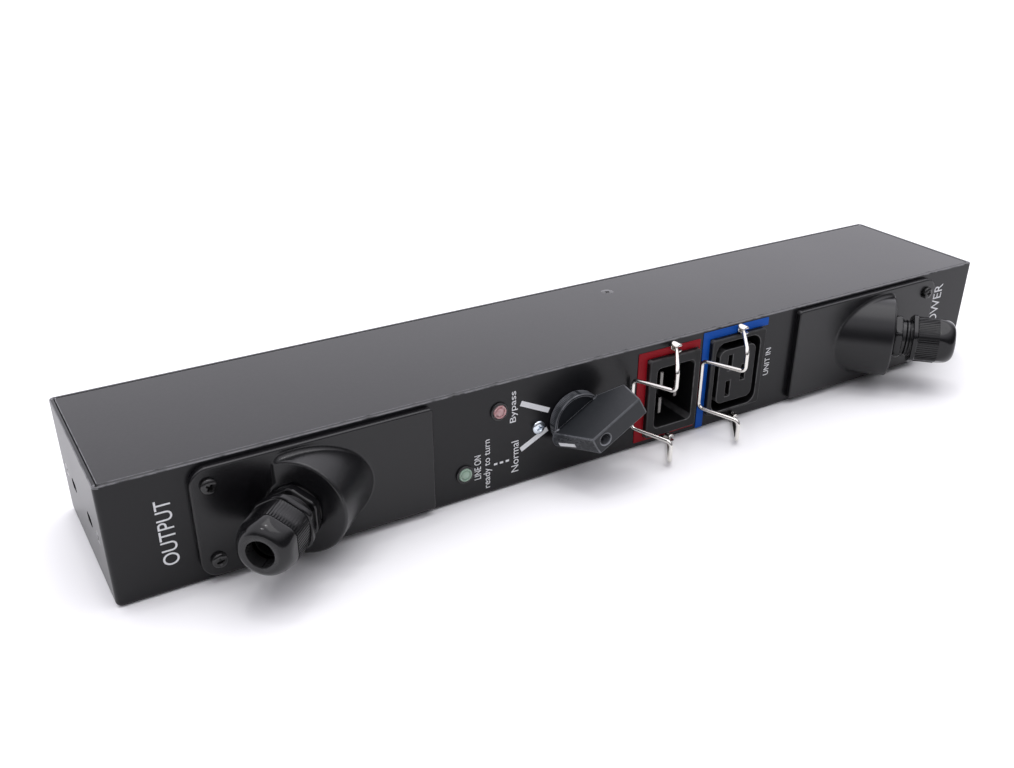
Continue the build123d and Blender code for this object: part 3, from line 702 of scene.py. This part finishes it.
def moulded(name, dark, light, roughness, grain_scale, grain_depth, wear_and_highlight_colour, wear_and_highlight_amount=0.4,
            wear_and_highlight_above=-HEIGHT, dust=0.05, ior=1.5):
    """Paint or plastic: mould grain, a slow change of tone, a little dust, and edges made lighter
    where they lie higher than a given height, partly as wear and partly as a painted highlight."""
    material, tree, shader = start_material(name, roughness, ior=ior)
    grain = use_group(tree, GRAIN, grain_scale=grain_scale)
    edges = use_group(tree, WEAR_AND_HIGHLIGHT, amount=wear_and_highlight_amount, lowest=wear_and_highlight_above * MM)
    lying = use_group(tree, DUST, amount=dust)
    colour = blend_colours(tree, grain.outputs["Tone"], dark, light)
    colour = blend_colours(tree, edges.outputs["Mask"], colour, wear_and_highlight_colour)
    colour = blend_colours(tree, lying.outputs["Mask"], colour, DUST_COLOUR)
    tree.links.new(colour, shader.inputs["Base Color"])
    spread_roughness(tree, shader, grain.outputs["Tone"], roughness - 0.015, roughness + 0.02)
    add_bump(tree, shader, grain.outputs["Height"], grain_depth)
    return material


def metal(name, dark, light, roughness):
    """Plated or bare metal with drawn streaks and cloudy tone."""
    material, tree, shader = start_material(name, roughness, metallic=1.0)
    streaks = use_group(tree, STREAKS)
    colour = blend_colours(tree, streaks.outputs["Tone"], dark, light)
    tree.links.new(colour, shader.inputs["Base Color"])
    spread_roughness(tree, shader, streaks.outputs["Tone"], roughness - 0.05, roughness + 0.07)
    add_bump(tree, shader, streaks.outputs["Height"], 0.004)
    return material


def lens(name, colour, deep):
    """Tinted translucent moulding over a lamp."""
    material, tree, shader = start_material(name, 0.22, ior=1.49)
    shader.inputs["Transmission Weight"].default_value = 0.45
    shader.inputs["Subsurface Weight"].default_value = 0.25
    shader.inputs["Subsurface Radius"].default_value = (0.002, 0.0015, 0.0015)
    grain = use_group(tree, GRAIN, grain_scale=1400.0, tone_scale=400.0)
    tree.links.new(blend_colours(tree, grain.outputs["Tone"], deep, colour),
                   shader.inputs["Base Color"])
    add_bump(tree, shader, grain.outputs["Height"], 0.01)
    return material


def printed(name, colour):
    """Screen-printed ink, a little uneven."""
    material, tree, shader = start_material(name, 0.5)
    grain = use_group(tree, GRAIN, grain_scale=5000.0, tone_scale=900.0)
    paler = tuple(min(1.0, channel * 1.08) for channel in colour)
    darker = tuple(channel * 0.88 for channel in colour)
    tree.links.new(blend_colours(tree, grain.outputs["Tone"], darker, paler),
                   shader.inputs["Base Color"])
    add_bump(tree, shader, grain.outputs["Height"], 0.004)
    return material


def striped(name, colour, stripe):
    """Earth wire insulation: two colours along its length."""
    material, tree, shader = start_material(name, 0.4)
    bands = add_node(tree, "ShaderNodeTexWave", {"Vector": object_place(tree), "Scale": 160.0},
                     bands_direction="Z")
    hard = ramp(tree, bands.outputs["Fac"], 0.48, 0.52)
    tree.links.new(blend_colours(tree, hard, colour, stripe), shader.inputs["Base Color"])
    return material


# The light grey along the top rim is partly paint worn off and partly a painted highlight of the
# rounded rim.
POWDER_COAT = moulded("black_powder_coat", (0.0042, 0.0042, 0.0052), (0.0056, 0.0056, 0.0068),
                      roughness=0.3, grain_scale=2600.0, grain_depth=0.012, ior=1.37, dust=0.015,
                      wear_and_highlight_colour=(0.42, 0.42, 0.44), wear_and_highlight_amount=0.9, wear_and_highlight_above=HEIGHT - 0.8)
HOOD_PAINT = moulded("hood_satin_black", (0.0035, 0.0035, 0.0042), (0.0048, 0.0048, 0.0058),
                     roughness=0.27, grain_scale=3200.0, grain_depth=0.01, ior=1.44, dust=0.015,
                     wear_and_highlight_colour=(0.04, 0.04, 0.04))
NYLON = moulded("gland_nylon", (0.004, 0.004, 0.0045), (0.006, 0.006, 0.0068),
                roughness=0.17, grain_scale=3600.0, grain_depth=0.003, ior=1.42, dust=0.01,
                wear_and_highlight_colour=(0.05, 0.05, 0.05), wear_and_highlight_amount=0.3)
# The light grey on its edges is a painted highlight along the frame and cavity edges.
CONNECTOR = moulded("connector_plastic", (0.0035, 0.0035, 0.004), (0.0055, 0.0055, 0.006),
                    roughness=0.45, grain_scale=4200.0, grain_depth=0.01, ior=1.34, dust=0.01,
                    wear_and_highlight_colour=(0.16, 0.16, 0.16), wear_and_highlight_amount=0.6)
# The light grey along its edges is a painted highlight of the ridges.
HANDLE = moulded("handle_plastic", (0.0090, 0.0108, 0.0135), (0.0115, 0.0136, 0.0168),
                 roughness=0.48, grain_scale=3800.0, grain_depth=0.016, ior=1.42, dust=0.02,
                 wear_and_highlight_colour=(0.28, 0.29, 0.31), wear_and_highlight_amount=0.9)
RUBBER = moulded("seal_rubber", (0.006, 0.006, 0.006), (0.010, 0.010, 0.010),
                 roughness=0.62, grain_scale=2200.0, grain_depth=0.02,
                 wear_and_highlight_colour=(0.04, 0.04, 0.04), wear_and_highlight_amount=0.2)
BLACK_SCREW = moulded("black_screw", (0.003, 0.003, 0.003), (0.005, 0.005, 0.005),
                      roughness=0.2, grain_scale=5200.0, grain_depth=0.004, dust=0.01,
                      wear_and_highlight_colour=(0.05, 0.05, 0.05))
RED_SHEET = moulded("red_label", (0.22, 0.001, 0.006), (0.27, 0.002, 0.009),
                    roughness=0.5, grain_scale=2800.0, grain_depth=0.006, ior=1.25, dust=0.01,
                    wear_and_highlight_colour=(0.40, 0.03, 0.04), wear_and_highlight_amount=0.3)
BLUE_SHEET = moulded("blue_label", (0.001, 0.06, 0.33), (0.002, 0.08, 0.41),
                     roughness=0.5, grain_scale=2800.0, grain_depth=0.006, ior=1.25, dust=0.01,
                     wear_and_highlight_colour=(0.06, 0.16, 0.42), wear_and_highlight_amount=0.3)
BOARD = moulded("circuit_board", (0.01, 0.07, 0.03), (0.02, 0.11, 0.05),
                roughness=0.35, grain_scale=1200.0, grain_depth=0.01, wear_and_highlight_colour=(0.2, 0.3, 0.2))
NICKEL = metal("nickel_plate", (0.66, 0.64, 0.60), (0.78, 0.76, 0.72), 0.14)
# The pin plating colour is dark as painted shade, for pins that sit deep in the inlet's cavity.
PIN_METAL_PAINTED_SHADE = metal("pin_plating_painted_shade", (0.16, 0.155, 0.15), (0.24, 0.23, 0.22), 0.2)
ZINC = metal("zinc_steel", (0.62, 0.68, 0.74), (0.74, 0.80, 0.86), 0.2)
BRASS = metal("contact_brass", (0.62, 0.44, 0.17), (0.74, 0.55, 0.24), 0.28)
RED_LENS = lens("red_lens", (0.90, 0.60, 0.60), (0.80, 0.44, 0.45))
GREEN_LENS = lens("green_lens", (0.62, 0.80, 0.66), (0.48, 0.66, 0.54))
INK = printed("white_print", (0.72, 0.73, 0.74))
BROWN_WIRE = printed("brown_insulation", (0.10, 0.035, 0.015))
BLUE_WIRE = printed("blue_insulation", (0.02, 0.10, 0.42))
EARTH_WIRE = striped("earth_insulation", (0.06, 0.30, 0.05), (0.65, 0.60, 0.04))


# ---------------------------------------------------------------- pieces

def make_box():
    for node in ("enclosure", "lid"):
        soften(node, None, "enclosure", POWDER_COAT)
    dress(ZINC, "lid_pillar")


def make_hood(side):
    soften(f"{side}_hood", None, "enclosure", HOOD_PAINT)


def gland_profile():
    """The gland's fixed body: hexagon, threaded neck, bore and inner stub."""
    edge = GLAND_EDGE
    return [
        (GLAND_HEX_START, GLAND_HEX_CORNER - edge, GLAND_HEX_FLAT - 0.2),
        (GLAND_HEX_START + edge, GLAND_HEX_CORNER, GLAND_HEX_FLAT),
        (GLAND_HEX_END - edge, GLAND_HEX_CORNER, GLAND_HEX_FLAT),
        (GLAND_HEX_END - 0.1, GLAND_HEX_CORNER - edge, GLAND_HEX_FLAT - 0.2),
        (GLAND_HEX_END, GLAND_HEX_CORNER - edge - 0.3, GLAND_HEX_FLAT - 0.4),
        (GLAND_HEX_END, GLAND_ROOT_R + 0.2),
        (GLAND_HEX_END + 0.2, GLAND_ROOT_R),
        (GLAND_NECK_END - 0.6, GLAND_ROOT_R),
        (GLAND_NECK_END, GLAND_ROOT_R - edge),
        (GLAND_NECK_END, GLAND_BORE_R),
        (GLAND_INNER_END, GLAND_BORE_R),
        (GLAND_INNER_END, GLAND_STUB_R - edge),
        (GLAND_INNER_END + edge, GLAND_STUB_R),
        (GLAND_HEX_START, GLAND_STUB_R),
    ]


def thread(start, end, root, crest, pitch):
    """A run of thread about local Z between two distances."""
    length = end - start
    mesh = grown(bpy.data.meshes.new("thread"), THREAD, turns=length / pitch, radius=root * MM,
                 height=length * MM, ridge=(crest - root) * MM)
    mesh.transform(Matrix.Translation((0, 0, start * MM)))
    return mesh


def make_gland_body(side):
    mesh = joined([
        lathe(gland_profile(), GLAND_STEPS),
        thread(GLAND_HEX_END + 0.8, GLAND_NECK_END - 1.0, GLAND_ROOT_R, GLAND_CREST_R,
               THREAD_PITCH),
        thread(GLAND_INNER_END + 1.0, -0.5, GLAND_STUB_R - 0.3, GLAND_STUB_R, THREAD_PITCH)])
    mesh.transform(gland_place(side))
    mark_edges(mesh)
    show(f"{side}_gland_body_finished", mesh, "enclosure", NYLON,
         [f"{side}_gland_body"])


def nut_profile():
    """Dome nut: wide collar, ribbed grip, facets that run out on the dome, and the mouth."""
    rows = [
        (NUT_START, NUT_COLLAR_CORNER - 0.4, NUT_COLLAR_FLAT - 0.3),
        (NUT_START + 0.35, NUT_COLLAR_CORNER, NUT_COLLAR_FLAT),
        (NUT_COLLAR_END - 0.35, NUT_COLLAR_CORNER, NUT_COLLAR_FLAT),
        (NUT_COLLAR_END, NUT_COLLAR_CORNER - 0.35, NUT_COLLAR_FLAT - 0.3),
        (NUT_COLLAR_END + 0.1, NUT_CORNER + 0.1, NUT_FLAT + 0.1),
        (NUT_COLLAR_END + 0.4, NUT_CORNER, NUT_FLAT),
        (NUT_SHOULDER - 0.2, NUT_CORNER, NUT_FLAT),
        (NUT_SHOULDER, NUT_CORNER + 0.12, NUT_FLAT + 0.12),
    ]
    rows += dome_rows(NUT_SHOULDER, NUT_END, NUT_CORNER + 0.12, NUT_MOUTH_R + NUT_MOUTH_RIM,
                      NUT_DOME_STEPS, flat=(NUT_FLAT + 0.12,))
    rows += [
        (NUT_END, NUT_MOUTH_R + 0.5),
        (NUT_END - 0.2, NUT_MOUTH_R + 0.12),
        (NUT_END - 0.6, NUT_MOUTH_R),
        (NUT_MOUTH_START, NUT_MOUTH_R),
        (NUT_CONE_END, GLAND_BORE_R),
        (NUT_BORE_END, NUT_BORE_R),
        (NUT_START, NUT_BORE_R),
    ]
    return rows


def nut_ribs():
    """Fine straight ribs over the grip of the dome nut."""
    outline = []
    for step in range(GLAND_STEPS):
        angle = TAU * step / GLAND_STEPS
        reach = hexagon_reach(angle, NUT_CORNER, NUT_FLAT)
        outline.append((reach * math.cos(angle), reach * math.sin(angle), 0))
    start = NUT_COLLAR_END + 0.3
    length = NUT_SHOULDER - start
    mesh = grown(path_mesh(outline, closed=True), RIBS, ribs=NUT_RIBS,
                 rib_size=Vector((*NUT_RIB, length)) * MM)
    mesh.transform(Matrix.Translation((0, 0, (start + length / 2) * MM)))
    return mesh


def make_dome_nut(side):
    mesh = joined([lathe(nut_profile(), GLAND_STEPS), nut_ribs()])
    mesh.transform(gland_place(side))
    mark_edges(mesh)
    show(f"{side}_gland_nut_finished", mesh, f"{side}_gland_nut", NYLON,
         [f"{side}_gland_nut"])


def make_gland(side):
    make_gland_body(side)
    make_dome_nut(side)
    dress(RUBBER, f"{side}_gland_seal", f"{side}_gland_washer")
    dress(NYLON, f"{side}_gland_locknut", f"{side}_gland_clamp")


def recess_cutter(reach, depth):
    """A tapered cross that cuts a driver recess, pointing down local -Z from the top."""
    low_size = (reach * 0.35, reach * 0.16, -depth)
    high_size = (reach, reach * 0.24, depth * 0.4)
    shape = bmesh.new()
    for quarter in (0, 1):
        arm = bmesh.ops.create_cube(shape, size=1.0)["verts"]
        for vertex in arm:
            wide, thick, level = low_size if vertex.co.z < 0 else high_size
            vertex.co = Vector((vertex.co.x * 2 * wide, vertex.co.y * 2 * thick, level)) * MM
        turn = Matrix.Rotation(quarter * math.pi / 2, 4, "Z")
        bmesh.ops.transform(shape, matrix=turn, verts=arm)
    return plain_mesh(shape, "recess_cutter")


def cut_recess(mesh, height, reach, depth):
    """Cuts a driver recess into a screw head whose top is at height on local Z."""
    cutter_mesh = recess_cutter(reach, depth)
    cutter_mesh.transform(Matrix.Translation((0, 0, height * MM)))
    cutter = empty_holder(cutter_mesh)
    holder = empty_holder(mesh)
    cut = holder.modifiers.new("recess", "BOOLEAN")
    cut.operation = "DIFFERENCE"
    cut.use_self = True
    cut.object = cutter
    result = settled(holder)
    bpy.data.objects.remove(cutter)
    return result


def shank_rows(length, top):
    """Profile rows of a screw's shank, from its closed end up to top."""
    return [(-length, AXIS_R), (-length, 1.0), (0.5 - length, M3_ROOT_R),
            (top, M3_ROOT_R)]


def pan_screw_mesh():
    """Pan head on a threaded shank; its seat is at local zero and its head points to +Z."""
    rows = shank_rows(PAN_LENGTH, 0)
    rows += [(0, PAN_HEAD_R - 0.25), (0.12, PAN_HEAD_R - 0.05),
             (0.4, PAN_HEAD_R), (PAN_SHOULDER, PAN_HEAD_R)]
    rows += dome_rows(PAN_SHOULDER, PAN_HEAD, PAN_HEAD_R, AXIS_R, 8, PAN_ROUNDNESS)
    head = cut_recess(lathe(rows, SCREW_STEPS), PAN_HEAD, PAN_RECESS, 1.35)
    return joined([head, thread(0.4 - PAN_LENGTH, -0.4, M3_ROOT_R, M3_R, M3_PITCH)])


def flat_screw_mesh():
    """Countersunk head whose top is at local zero, on a threaded shank."""
    rows = shank_rows(FLAT_LENGTH, -FLAT_HEAD)
    rows += [(-0.15, FLAT_HEAD_R - 0.1), (-0.02, FLAT_HEAD_R - 0.08),
             (0, FLAT_HEAD_R - 0.2), (0, AXIS_R)]
    head = cut_recess(lathe(rows, SCREW_STEPS), 0.0, FLAT_RECESS, 1.1)
    return joined([head, thread(0.4 - FLAT_LENGTH, -FLAT_HEAD - 0.2, M3_ROOT_R, M3_R, M3_PITCH)])


def make_screws(name, template_mesh, places, material, replaced):
    """One piece for all the screws of a kind."""
    template = empty_holder(template_mesh)
    mesh = grown(place_mesh(places), COPIES, template=template, material=material)
    bpy.data.objects.remove(template)
    mark_edges(mesh)
    show(name, mesh, "enclosure", material, replaced, sharp=math.radians(30))


def make_all_screws():
    out = (0, -1, 0)
    hood_places = []
    hood_nodes = []
    for sign, side in ((-1, "output"), (1, "input")):
        for index, level in enumerate(("lower", "upper")):
            point = (sign * HOOD_SCREW_X, FRONT - HOOD_PLATE, HOOD_SCREW_Z[index])
            hood_places.append((point, out, 0.5 + 0.7 * index + 0.3 * sign))
            hood_nodes.append(f"{side}_hood_screw_{level}")
    make_screws("hood_screws", pan_screw_mesh(), hood_places, BLACK_SCREW,
                hood_nodes)
    switch_places = [((SWITCH_X + sign * SWITCH_SCREW_SPREAD, FRONT, SWITCH_Z), out, spin)
                     for sign, spin in ((-1, 0.4), (1, 1.0))]
    make_screws("switch_screws", pan_screw_mesh(), switch_places, ZINC,
                ["switch_screw_left", "switch_screw_right"])
    lid_places = [(LID_SCREW, (0, 0, 1), 0.35)]
    lid_nodes = ["lid_top_screw"]
    for sign, side in ((-1, "left"), (1, "right")):
        for across, end in ((-1, "front"), (1, "rear")):
            point = (sign * END_SCREW_X, across * END_SCREW_Y, END_SCREW_Z)
            lid_places.append((point, (sign, 0, 0), 0.6 * across))
            lid_nodes.append(f"lid_screw_{side}_{end}")
    make_screws("lid_screws", flat_screw_mesh(), lid_places, BLACK_SCREW, lid_nodes)


def make_couplers():
    soften("inlet_housing", 0.35, "enclosure", CONNECTOR)
    soften("outlet_housing", 0.35, "enclosure", CONNECTOR)
    for pole in ("line", "neutral", "earth"):
        soften(f"inlet_pin_{pole}", 0.18, "enclosure", PIN_METAL_PAINTED_SHADE, segments=2)
        dress(BRASS, f"outlet_contact_{pole}")
    soften("inlet_label", 0.06, "enclosure", RED_SHEET, segments=1)
    soften("outlet_label", 0.06, "enclosure", BLUE_SHEET, segments=1)


def make_bail(name):
    """One bent wire, from one pivot end round the loop to the other."""
    side_x = BAIL_X[name]
    elbow = (side_x + BAIL_ELBOW[0], BAIL_PIVOT_Y + BAIL_ELBOW[1])
    bar = (side_x + BAIL_BAR[0], BAIL_PIVOT_Y + BAIL_BAR[1])
    half = [
        (side_x, BAIL_PIVOT_Y, BAIL_LEG_HALF - BAIL_PIVOT_LENGTH),
        (side_x, BAIL_PIVOT_Y, BAIL_LEG_HALF),
        (*elbow, BAIL_LEG_HALF),
        (*elbow, BAIL_LOOP_HALF),
        (*bar, BAIL_LOOP_HALF - 0.6),
    ]
    route = half + [(x, y, -z) for x, y, z in reversed(half)]
    route = [(x, y, z + BAIL_MID_Z) for x, y, z in route]
    mesh = grown(path_mesh(route), WIRE, bend_radius=BAIL_BEND_R * MM,
                 bend_steps=BAIL_BEND_STEPS, wire_radius=BAIL_WIRE_R * MM,
                 wire_sides=BAIL_WIRE_SIDES)
    show(f"{name}_finished", mesh, name, NICKEL, [name])
    for level in ("upper", "lower"):
        soften(f"{name}_post_{level}", 0.12, "enclosure", NICKEL, segments=2)


def nose_point(share_up, across, lift):
    """A point on the pointer's rounded nose: share of the way up, and -1 to 1 across it."""
    rows = []
    for out, shoulder, tip in (NOSE_FOOT, NOSE_TOP):
        sag = tip - shoulder
        radius = (GRIP_HALF ** 2 + sag ** 2) / (2 * sag)
        centre = tip - radius
        half_angle = math.asin(min(1.0, GRIP_HALF / radius))
        angle = across * half_angle
        rows.append((out, centre + radius * math.cos(angle), radius * math.sin(angle)))
    out, forward, sideways = (low + (high - low) * share_up for low, high in zip(*rows))
    forward += lift
    pointer = Vector((math.cos(POINTER_ANGLE), 0, math.sin(POINTER_ANGLE)))
    side = pointer.cross(Vector((0, -1, 0)))
    centre = Vector((SWITCH_X, FRONT - out, SWITCH_Z))
    return (centre + pointer * forward + side * sideways) * MM


def make_pointer_mark():
    """The white line painted down the pointer's nose."""
    shape = bmesh.new()
    skins = [[[shape.verts.new(nose_point(MARK_START + MARK_LENGTH * row / MARK_ROWS,
                                          MARK_HALF_WIDTH * (2 * column / MARK_COLUMNS - 1), lift))
               for column in range(MARK_COLUMNS + 1)]
              for row in range(MARK_ROWS + 1)]
             for lift in MARK_LIFTS]
    low, high = skins
    for row in range(MARK_ROWS):
        for column in range(MARK_COLUMNS):
            for skin in skins:
                shape.faces.new((skin[row][column], skin[row][column + 1],
                                 skin[row + 1][column + 1], skin[row + 1][column]))
        for column in (0, MARK_COLUMNS):
            shape.faces.new((low[row][column], low[row + 1][column],
                             high[row + 1][column], high[row][column]))
    for column in range(MARK_COLUMNS):
        for row in (0, MARK_ROWS):
            shape.faces.new((low[row][column], low[row][column + 1],
                             high[row][column + 1], high[row][column]))
    bmesh.ops.recalc_face_normals(shape, faces=shape.faces)
    show("pointer_mark", plain_mesh(shape, "pointer_mark"), "handle", INK)


def make_switch():
    soften("switch_handle", 0.45, "handle", HANDLE, segments=4)
    make_pointer_mark()
    dress(ZINC, "switch_handle_screw", "switch_spindle")
    dress(CONNECTOR, "switch_cams", "switch_body")


def lens_profile():
    """A ringed lens: a raised rim, a groove inside it, and a dome in the middle."""
    rim = [(-LENS_DEPTH, AXIS_R), (-LENS_DEPTH, LENS_R), (0.9, LENS_R),
           (1.25, LENS_R - 0.15), (1.3, LENS_R - 0.45), (1.1, LENS_R - 0.75),
           (LENS_STEP, LENS_DOME_R + 0.1), (LENS_STEP, LENS_DOME_R)]
    return rim + dome_rows(LENS_STEP, LENS_TOP, LENS_DOME_R, AXIS_R, 10)


def make_lens(colour, material):
    x, z = LAMPS[colour]
    mesh = lathe(lens_profile(), 64)
    out = Matrix.Rotation(math.radians(90), 4, "X")
    mesh.transform(Matrix.Translation((x * MM, FRONT * MM, z * MM)) @ out)
    show(f"{colour}_lamp_lens_finished", mesh, "enclosure", material,
         [f"{colour}_lamp_lens"])


def make_lamps():
    for colour, material in (("green", GREEN_LENS), ("red", RED_LENS)):
        make_lens(colour, material)
        soften(f"{colour}_lamp_bezel", 0.15, "enclosure", BLACK_SCREW, segments=2)
    dress(BOARD, "lamp_board")


def make_inside():
    """What the closed lid hides: terminals, earth stud and wiring."""
    dress(CONNECTOR, "input_terminal_block", "output_terminal_block")
    dress(BRASS, "earth_stud", "earth_nut")
    for name, material, routes in (("brown_wiring", BROWN_WIRE, BROWN_ROUTES),
                                   ("blue_wiring", BLUE_WIRE, BLUE_ROUTES),
                                   ("earth_wiring", EARTH_WIRE, EARTH_ROUTES)):
        tubes = [grown(path_mesh(route), WIRE, bend_radius=INNER_WIRE_BEND * MM, bend_steps=10,
                       wire_radius=INNER_WIRE_R * MM, wire_sides=16) for route in routes]
        show(name, joined(tubes), "enclosure", material)


def words_mesh(words):
    """Words as a thin solid, lying in the local XY plane with their front to +Z."""
    curve = bpy.data.curves.new("words", "FONT")
    curve.body = words
    curve.size = 1.0
    curve.extrude = 0.5
    curve.resolution_u = 6
    return settled(empty_holder(curve))


def fitted(mesh, x_range, z_range):
    """Scales words to a box on the panel. They read upwards, their tops towards -X."""
    xs = [vertex.co.x for vertex in mesh.vertices]
    ys = [vertex.co.y for vertex in mesh.vertices]
    length = (z_range[1] - z_range[0]) / (max(xs) - min(xs))
    height = (x_range[1] - x_range[0]) / (max(ys) - min(ys))
    for vertex in mesh.vertices:
        along, up, depth = vertex.co
        vertex.co = Vector((x_range[1] - (up - min(ys)) * height,
                            FRONT - PRINT_LIFT - (depth + 0.5) * PRINT_THICKNESS,
                            z_range[0] + (along - min(xs)) * length)) * MM
    return mesh


def bar_mesh(start, end, width):
    """A flat printed bar from one point of the panel to another."""
    start = Vector(start)
    end = Vector(end)
    side = (end - start).orthogonal().normalized() * width / 2
    corners = [start + side, end + side, end - side, start - side]
    shape = bmesh.new()
    back = [shape.verts.new(Vector((corner.x, FRONT - BAR_LIFT, corner.y)) * MM)
            for corner in corners]
    face = shape.faces.new(back)
    grown_face = bmesh.ops.extrude_face_region(shape, geom=[face])["geom"]
    raised = [item for item in grown_face if isinstance(item, bmesh.types.BMVert)]
    thickness = PRINT_LIFT + PRINT_THICKNESS
    bmesh.ops.translate(shape, verts=raised, vec=(0, -thickness * MM, 0))
    bmesh.ops.recalc_face_normals(shape, faces=shape.faces)
    return plain_mesh(shape, "bar")


def make_print():
    for name, (words, x_range, z_range) in LEGENDS.items():
        mesh = fitted(words_mesh(words), x_range, z_range)
        show(name, mesh, "enclosure", INK)
    for name, (start, end, width) in BARS.items():
        show(name, bar_mesh(start, end, width), "enclosure", INK)
    middle = sum(DASH_Z) / 2
    dashes = [bar_mesh((low, middle), (high, middle), DASH_Z[1] - DASH_Z[0])
              for low, high in DASHES]
    show("print_dashes", joined(dashes), "enclosure", INK)


# ---------------------------------------------------------------- studio

def make_floor():
    """A wide pale floor under the box."""
    half = FLOOR_HALF
    mesh = bpy.data.meshes.new("floor")
    mesh.from_pydata([(-half, -half, 0), (half, -half, 0), (half, half, 0), (-half, half, 0)],
                     [], [(0, 1, 2, 3)])
    material, tree, shader = start_material("pale_floor", 0.75)
    grain = use_group(tree, GRAIN, grain_scale=300.0, tone_scale=3.0)
    tree.links.new(blend_colours(tree, grain.outputs["Tone"], (0.91, 0.91, 0.91),
                                 (0.93, 0.93, 0.93)), shader.inputs["Base Color"])
    mesh.materials.append(material)
    floor = bpy.data.objects.new("floor", mesh)
    bpy.context.scene.collection.objects.link(floor)


def add_softbox(name, place, target, side, power):
    """A square area light that faces a point."""
    data = bpy.data.lights.new(name, "AREA")
    data.size = side
    data.energy = power
    lamp = bpy.data.objects.new(name, data)
    bpy.context.scene.collection.objects.link(lamp)
    lamp.location = place
    aim = Vector(target) - Vector(place)
    lamp.rotation_euler = aim.to_track_quat("-Z", "Y").to_euler()


def make_world():
    """A bright room behind and above the object, and a dim one in front of it."""
    world = bpy.data.worlds.new("studio")
    world.use_nodes = True
    tree = world.node_tree
    direction = add_node(tree, "ShaderNodeTexCoord")
    split = add_node(tree, "ShaderNodeSeparateXYZ", {"Vector": direction.outputs["Generated"]})
    behind = ramp(tree, split.outputs["Y"], *WORLD_TURN, WORLD_FRONT, WORLD_BEHIND, "SMOOTHSTEP")
    above = ramp(tree, split.outputs["Z"], *WORLD_RISE, kind="SMOOTHSTEP")
    level = add_node(tree, "ShaderNodeMix", {0: above, 2: behind, 3: WORLD_ABOVE})
    background = tree.nodes["Background"]
    background.inputs["Color"].default_value = (*WORLD_COLOUR, 1.0)
    tree.links.new(level.outputs[0], background.inputs["Strength"])
    bpy.context.scene.world = world


def make_lights():
    make_world()
    for light in LIGHTS:
        add_softbox(*light)
    bpy.context.scene.view_settings.view_transform = "Standard"


def make_camera():
    """The view from above and to the left of the front panel."""
    data = bpy.data.cameras.new("camera")
    data.lens = 37.42
    data.sensor_width = 36.0
    data.shift_x = -0.01254
    data.shift_y = 0.04684
    data.clip_start = 0.01
    data.clip_end = 30.0
    camera = bpy.data.objects.new("camera", data)
    bpy.context.scene.collection.objects.link(camera)
    right = Vector((0.85366, -0.52075, 0.00883))
    up = Vector((0.24266, 0.41268, 0.87796))
    back = Vector((-0.46084, -0.74734, 0.47866))
    turn = Matrix((right, up, back)).transposed().to_4x4()
    camera.matrix_world = Matrix.Translation((-0.2548, -0.3619, 0.23265)) @ turn
    bpy.context.scene.camera = camera


COPIES = copies_tree()
WIRE = wire_tree()
RIBS = rib_tree()
THREAD = thread_tree()

make_camera()
make_lights()
make_floor()
make_box()
for side in ("output", "input"):
    make_hood(side)
    make_gland(side)
make_all_screws()
make_couplers()
for bail in BAIL_X:
    make_bail(bail)
make_switch()
make_lamps()
make_inside()
make_print()
